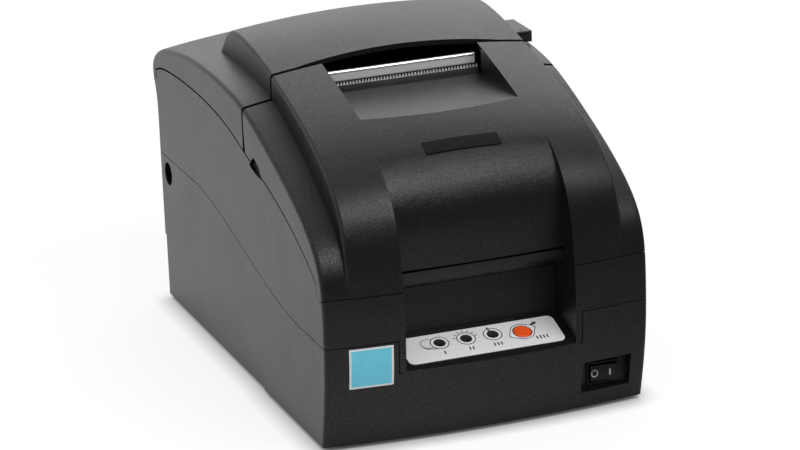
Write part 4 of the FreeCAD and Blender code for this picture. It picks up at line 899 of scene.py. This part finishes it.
class PRINTER_OT_screws(Operator):
    """Grows the cross-head screws of the board, the mechanism, the case and the rear plate"""

    bl_idname = "printer.screws"
    bl_label = "Screws"

    def four(self, name, node, radius, length, spread, centre, facing):
        """Screws at the corners of a rectangle, or at the ends of a line, all facing one way."""
        screws = Growth(name)
        across, along = screws.sizes("Spread X", "Spread Y")
        rows = screws.size("Rows", "NodeSocketInt")
        middle, turn = screws.sizes("Centre", "Facing", kind="NodeSocketVector")
        wide, tall, thin, deep = screws.sizes("Head Radius", "Head Height", "Shank Radius", "Length")
        points = screws.moved(screws.grid(across, along, 2, rows), Translation=middle)
        cap = screws.node("GeometryNodeMeshCone", {
            "Vertices": 24, "Radius Top": screws.times(wide, 0.78), "Radius Bottom": wide,
            "Depth": tall})
        cut = screws.node("GeometryNodeMeshBoolean", operation="DIFFERENCE")
        screws.tree.links.new(cap.outputs["Mesh"], cut.inputs[0])
        long, short = screws.times(wide, 1.15), screws.times(wide, 0.24)
        for x, y in ((long, short), (short, long)):
            slot = screws.block(screws.vector(X=x, Y=y, Z=tall))
            screws.tree.links.new(screws.moved(slot, Translation=screws.vector(Z=tall)), cut.inputs[1])
        rod = screws.node("GeometryNodeMeshCylinder", {"Vertices": 20, "Radius": thin, "Depth": deep})
        drop = screws.vector(Z=screws.times(deep, -0.5))
        both = screws.node("GeometryNodeJoinGeometry")
        for geometry in (cut.outputs["Mesh"], screws.moved(rod.outputs["Mesh"], Translation=drop)):
            screws.tree.links.new(geometry, both.inputs[0])
        row = screws.on_points(points, both.outputs["Geometry"], Rotation=turn)
        piece = screws.grow(name, row, self.zinc, {
            "Spread X": spread[0], "Spread Y": spread[1], "Rows": 2 if spread[1] else 1, "Centre": centre,
            "Facing": facing, "Head Radius": radius, "Head Height": HEAD, "Shank Radius": 1.4 * MM,
            "Length": length})
        hand_over(piece, None, node)

    def execute(self, context):
        self.zinc = metal("zinc_screws", (0.6, 0.6, 0.58))
        up, down, outward = (0.0, 0.0, 0.0), (math.pi, 0.0, 0.0), (-math.pi / 2, 0.0, 0.0)
        radius = 2.8 * MM
        for name, node, facing in (("board_screw_row", "board_screws", up),
                                   ("mechanism_screw_row", "mechanism_screws", up),
                                   ("case_screw_row", "case_screws", down)):
            low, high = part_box(node)
            spread = [high[k] - low[k] - 2 * radius for k in (0, 1)]
            centre = middle_of(low, high)
            centre[2] = high[2] - HEAD if facing is up else low[2] + HEAD
            self.four(name, node, radius, high[2] - low[2] - HEAD, spread, centre, facing)
        low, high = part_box("plate_screws")
        centre = middle_of(low, high)
        centre[1] = high[1] - HEAD
        radius = 2.4 * MM
        spread = (high[0] - low[0] - 2 * radius, 0.0)
        self.four("plate_screw_row", "plate_screws", radius, 5.5 * MM, spread, centre, outward)
        return {"FINISHED"}


def block_rows(name, counts, spread, size, centre, finish):
    """Rows of small blocks on a rectangle that stands up across the width, in millimetres."""
    rows = Growth(name)
    across, up = rows.sizes("Across", "Up", kind="NodeSocketInt")
    wide, tall = rows.sizes("Spread X", "Spread Z")
    block, middle = rows.sizes("Block", "Centre", kind="NodeSocketVector")
    grid = rows.moved(rows.grid(wide, tall, across, up), Rotation=(math.pi / 2, 0, 0), Translation=middle)
    spread, size = in_metres((spread, size))
    return rows.grow(name, rows.on_points(grid, rows.block(block)), finish, {
        "Across": counts[0], "Up": counts[1], "Spread X": spread[0], "Spread Z": spread[1],
        "Block": size, "Centre": centre})


class PRINTER_OT_rear_sockets(Operator):
    """Dresses the rear plate and sockets and grows their contacts"""

    bl_idname = "printer.rear_sockets"
    bl_label = "Rear sockets"

    def execute(self, context):
        gold = metal("contact_gold", (0.8, 0.6, 0.3))
        black = moulded("socket_plastic", (0.016, 0.016, 0.017), gloss=0.4, grain=0.4 * MM, depth=0.006 * MM)
        carried(metal("plate_steel", (0.62, 0.63, 0.65), 0.34, (0.08, 1, 1)), "interface_plate")
        for node, rounding in (("data_connector", 0.25), ("drawer_jack", 0.2), ("power_inlet", 0.2)):
            dressed_copy(node, black, 25, rounding * MM)
        low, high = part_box("data_connector")
        plate = outline_plate(rounded_box(16.5 * MM, 3.0 * MM, 0.3 * MM), -1.2 * MM, 1.2 * MM)
        place = Vector(((low[0] + high[0]) / 2, high[1] - 4.0 * MM, 27.5 * MM))
        tongue = add_shape(bmesh.new(), plate, Matrix.Translation(place))
        hand_over(piece_from("data_tongue", tongue), black, body="base")
        for node, name, counts, spread, size, depth, height in (
                ("data_connector", "data_contacts", (18, 2), (30.6, 2.5), (0.9, 4.6, 0.2), 3.6, 27.5),
                ("drawer_jack", "jack_contacts", (6, 1), (6.4, 0.0), (0.5, 8.0, 0.4), 6.2, 26.2),
                ("power_inlet", "inlet_contacts", (3, 1), (4.8, 0.0), (0.9, 6.0, 0.9), 5.0, 24.0)):
            low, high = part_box(node)
            centre = ((low[0] + high[0]) / 2, high[1] - depth * MM, height * MM)
            contacts = block_rows(name, counts, spread, size, centre, gold)
            hand_over(contacts, None, body="base")
        return {"FINISHED"}


class PRINTER_OT_drive(Operator):
    """Grows the belt's teeth along its loop and dresses the drive train"""

    bl_idname = "printer.drive"
    bl_label = "Belt, gears and motors"

    def execute(self, context):
        belt = rubber("belt_rubber", (0.02, 0.02, 0.02))
        carried(belt, "timing_belt")
        low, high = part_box("timing_belt")
        teeth = Growth("Belt teeth")
        wide, deep = teeth.sizes("Loop Length", "Loop Width")
        count = teeth.size("Teeth", "NodeSocketInt")
        block, middle = teeth.sizes("Tooth", "Centre", kind="NodeSocketVector")
        loop = teeth.node("GeometryNodeCurvePrimitiveQuadrilateral", {"Width": wide, "Height": deep})
        turned = teeth.node("GeometryNodeFilletCurve", {
            "Curve": loop.outputs["Curve"], "Radius": teeth.times(deep, 0.499), "Count": 10},
            mode="POLY")
        even = teeth.node("GeometryNodeResampleCurve", {"Curve": turned.outputs["Curve"], "Count": count})
        aligned = teeth.node("FunctionNodeAlignRotationToVector", {
            "Vector": teeth.node("GeometryNodeInputTangent").outputs[0]}, axis="X")
        row = teeth.on_points(even.outputs["Curve"], teeth.block(block), Rotation=aligned.outputs[0])
        thick, sunk = 1.0 * MM, 0.05 * MM       # the belt, and how deep a tooth's root sits in it
        length, width = (high[k] - low[k] - 2 * (thick + sunk) for k in (0, 1))
        piece = teeth.grow("belt_teeth", teeth.moved(row, Translation=middle), belt, {
            "Loop Length": length, "Loop Width": width, "Teeth": 92, "Tooth": (0.9 * MM, 0.25 * MM, 3.8 * MM),
            "Centre": middle_of(low, high)})
        hand_over(piece, None, body="base")
        natural = moulded("gear_plastic", (0.72, 0.72, 0.68), gloss=0.38, grain=0.5 * MM, depth=0.006 * MM,
                          spread=0.04)
        carried(natural, "first_gear", "second_gear", "feed_gear", "feed_bushes", "idler_pulley",
                "ribbon_drive")
        carried(metal("brass", (0.78, 0.58, 0.28)), "feed_motor_pinion", "carriage_bushes", "motor_pulley")
        carried(metal("motor_can", (0.5, 0.5, 0.52), 0.36, (0.1, 1, 1)), "feed_motor", "carriage_motor")
        return {"FINISHED"}


class PRINTER_OT_inner_parts(Operator):
    """Dresses the frames, shafts, rollers, head, ribbon, boards and feet"""

    bl_idname = "printer.inner_parts"
    bl_label = "Inner parts and feet"

    def execute(self, context):
        carried(metal("frame_sheet", (0.5, 0.51, 0.52), 0.38, (1, 0.1, 1)), "side_frame_left",
                "side_frame_right", "mechanism_base")
        carried(metal("ground_shaft", (0.68, 0.68, 0.7), 0.2, (0.02, 1, 1)), "carriage_shaft",
                "carriage_rail", "feed_shaft", "pinch_shaft", "gear_studs", "front_hinge_pins",
                "rear_hinge_pins", "lever_pin")
        carried(rubber("roller_rubber", (0.035, 0.035, 0.036)), "platen", "feed_rollers", "pinch_rollers")
        carried(rubber("foot_rubber", (0.02, 0.02, 0.02)), "rubber_feet")
        dull = moulded("inner_plastic", (0.02, 0.02, 0.021), gloss=0.5, grain=0.6 * MM, depth=0.02 * MM)
        carried(dull, "head_carriage", "print_head", "ribbon_cartridge", "paper_bucket", "push_switch")
        carried(metal("fin_aluminium", (0.7, 0.71, 0.73), 0.34, (0.1, 1, 1)), "head_heat_sink")
        carried(woven("ribbon_cloth", (0.02, 0.012, 0.05)), "ink_ribbon")
        carried(laminate("board_laminate", (0.02, 0.14, 0.06)), "main_board", "panel_board")
        carried(lens("lamp_body", (0.62, 0.66, 0.6), 0.25), "status_lamps")
        return {"FINISHED"}


class PRINTER_OT_stage(Operator):
    """Makes the floor, the lamps and the camera"""

    bl_idname = "printer.stage"
    bl_label = "Floor, lamps and camera"

    FLOOR_GLOW = 0.8                # share of the floor's own light
    CONTACT = 0.012                 # reach of the painted contact shadow, where the floor's glow is darkened next to something standing on it
    BACKDROP = (-0.45, 0.75, 0.48)  # the side of the white backdrop
    LAMPS = (                       # name, power, size, place and target
        ("front_above", 10.5, (1.0, 0.2), (0.25, -0.83, 1.1), (0, -0.1, 0.1)),
        ("rear_above", 5.0, (1.3, 0.8), (0.45, 1.15, 0.95), (0, 0, 0.1)))
    PLACE = (-598.67, -1662.81, 648.06)
    AZIMUTH, ELEVATION, ROLL = 0.3475, 0.3193, -0.0387

    def floor(self):
        """Pale floor that stays white to the eye and in reflections, keeps the shadow, and has a painted
        contact shadow in its glow.
        """
        floor = piece_from("floor", outline_plate([(-4, -3), (4, -3), (4, 6), (-4, 6)], -0.01, 0.0))
        pale = Finish("pale_floor").put(Roughness=0.9, Specular_IOR_Level=0.0)
        pale.put(Base_Color=(0.93, 0.93, 0.93, 1))
        tree = pale.tree
        place = axes_of(tree, pale.place)
        ahead = fade(tree, place["Y"], (-0.55, -0.2), (0.15, 1.0))
        beside = fade(tree, place["X"], (-0.02, 0.16), (1.0, 0.25))
        # Ambient occlusion darkens the floor's glow next to the object: a painted contact shadow.
        contact_shade = add_node(tree, "ShaderNodeAmbientOcclusion", {"Distance": self.CONTACT}).outputs["AO"]
        level = self.seen(tree, maths(tree, "MULTIPLY", ahead, beside))
        glow = add_node(tree, "ShaderNodeEmission", {
            "Color": (1, 1, 1, 1), "Strength": maths(tree, "MULTIPLY", level, contact_shade)})
        mix = add_node(tree, "ShaderNodeMixShader", {
            "Fac": self.FLOOR_GLOW, 1: pale.shader.outputs["BSDF"], 2: glow.outputs["Emission"]})
        tree.links.new(mix.outputs["Shader"], tree.nodes["Material Output"].inputs["Surface"])
        floor.data.materials.append(pale.material)

    @staticmethod
    def seen(tree, reflected):
        """One for camera rays, and a given level for rays off metal, gloss and glass."""
        path = tree.nodes.new("ShaderNodeLightPath").outputs
        mirror = maths(tree, "MAXIMUM", path["Is Glossy Ray"], path["Is Transmission Ray"])
        return maths(tree, "MAXIMUM", path["Is Camera Ray"], maths(tree, "MULTIPLY", mirror, reflected))

    def lamp(self, name, power, size, place, target):
        """A rectangular lamp that looks at a place."""
        data = bpy.data.lights.new(name, "AREA")
        data.shape = "RECTANGLE"
        data.size, data.size_y = size
        data.energy = power * looks().light_level
        lamp = shown(name, data)
        lamp.location = place
        lamp.rotation_euler = (Vector(target) - Vector(place)).to_track_quat("-Z", "Y").to_euler()

    def world(self):
        """White backdrop behind and above the object, dim on the side of the camera."""
        world = bpy.data.worlds.new("studio")
        bpy.context.scene.world = world
        world.use_nodes = True
        tree = world.node_tree
        tree.nodes.clear()
        toward = tree.nodes.new("ShaderNodeTexCoord").outputs["Generated"]
        lean = add_node(tree, "ShaderNodeVectorMath", {0: toward, 1: self.BACKDROP}, operation="DOT_PRODUCT")
        level = fade(tree, lean.outputs["Value"], (-0.45, 0.35), (0.15, 1.0))
        direct = tree.nodes.new("ShaderNodeLightPath").outputs["Is Camera Ray"]
        backdrop = add_node(tree, "ShaderNodeBackground", {
            "Color": (1, 1, 1, 1), "Strength": maths(tree, "MAXIMUM", direct, level)})
        add_node(tree, "ShaderNodeOutputWorld", {"Surface": backdrop.outputs["Background"]})

    def camera(self):
        """Camera at the viewing angle of the photograph."""
        turn, drop, roll = self.AZIMUTH, self.ELEVATION, self.ROLL
        level = Vector((math.cos(turn), -math.sin(turn), 0))
        forward = Vector((math.sin(turn) * math.cos(drop), math.cos(turn) * math.cos(drop), -math.sin(drop)))
        plumb = level.cross(forward)
        right = math.cos(roll) * level + math.sin(roll) * plumb
        up = -math.sin(roll) * level + math.cos(roll) * plumb
        data = bpy.data.cameras.new("camera")
        data.sensor_width = 36
        data.lens = 171.6
        data.clip_start, data.clip_end = 0.05, 50
        camera = shown("camera", data)
        axes = Matrix((right, up, -forward)).transposed().to_4x4()
        camera.matrix_world = Matrix.Translation(Vector(self.PLACE) * MM) @ axes
        bpy.context.scene.camera = camera

    def execute(self, context):
        self.floor()
        self.world()
        for lamp in self.LAMPS:
            self.lamp(*lamp)
        self.camera()
        context.scene.view_settings.view_transform = "Standard"
        return {"FINISHED"}


# ---- sidebar and registration

OPERATORS = (
    PRINTER_OT_shells,
    PRINTER_OT_panel,
    PRINTER_OT_button,
    PRINTER_OT_power_switch,
    PRINTER_OT_plates,
    PRINTER_OT_cutter,
    PRINTER_OT_lever,
    PRINTER_OT_screws,
    PRINTER_OT_rear_sockets,
    PRINTER_OT_drive,
    PRINTER_OT_inner_parts,
    PRINTER_OT_stage,
)


class PRINTER_PT_sidebar(Panel):
    """Lists the printer's pieces"""

    bl_idname = "PRINTER_PT_sidebar"
    bl_label = "Receipt printer"
    bl_space_type = "VIEW_3D"
    bl_region_type = "UI"
    bl_category = "Printer"

    def draw(self, context):
        column = self.layout.column()
        for name in PrinterLooks.__annotations__:
            column.prop(looks(), name)
        for operator in OPERATORS:
            column.operator(operator.bl_idname)


CLASSES = (PrinterLooks, *OPERATORS, PRINTER_PT_sidebar)


def register():
    """Makes the operators, the sidebar and the looks known to the program."""
    for cls in CLASSES:
        bpy.utils.register_class(cls)
    bpy.types.Scene.receipt_printer = PointerProperty(type=PrinterLooks)


def unregister():
    """Takes back what register() made known."""
    del bpy.types.Scene.receipt_printer
    for cls in reversed(CLASSES):
        bpy.utils.unregister_class(cls)


def main():
    """Dresses the whole printer."""
    register()
    for operator in OPERATORS:
        group, name = operator.bl_idname.split(".")
        result = getattr(getattr(bpy.ops, group), name)()
        if result != {"FINISHED"}:
            raise RuntimeError(operator.bl_label + " did not finish")


if __name__ == "__main__":
    main()
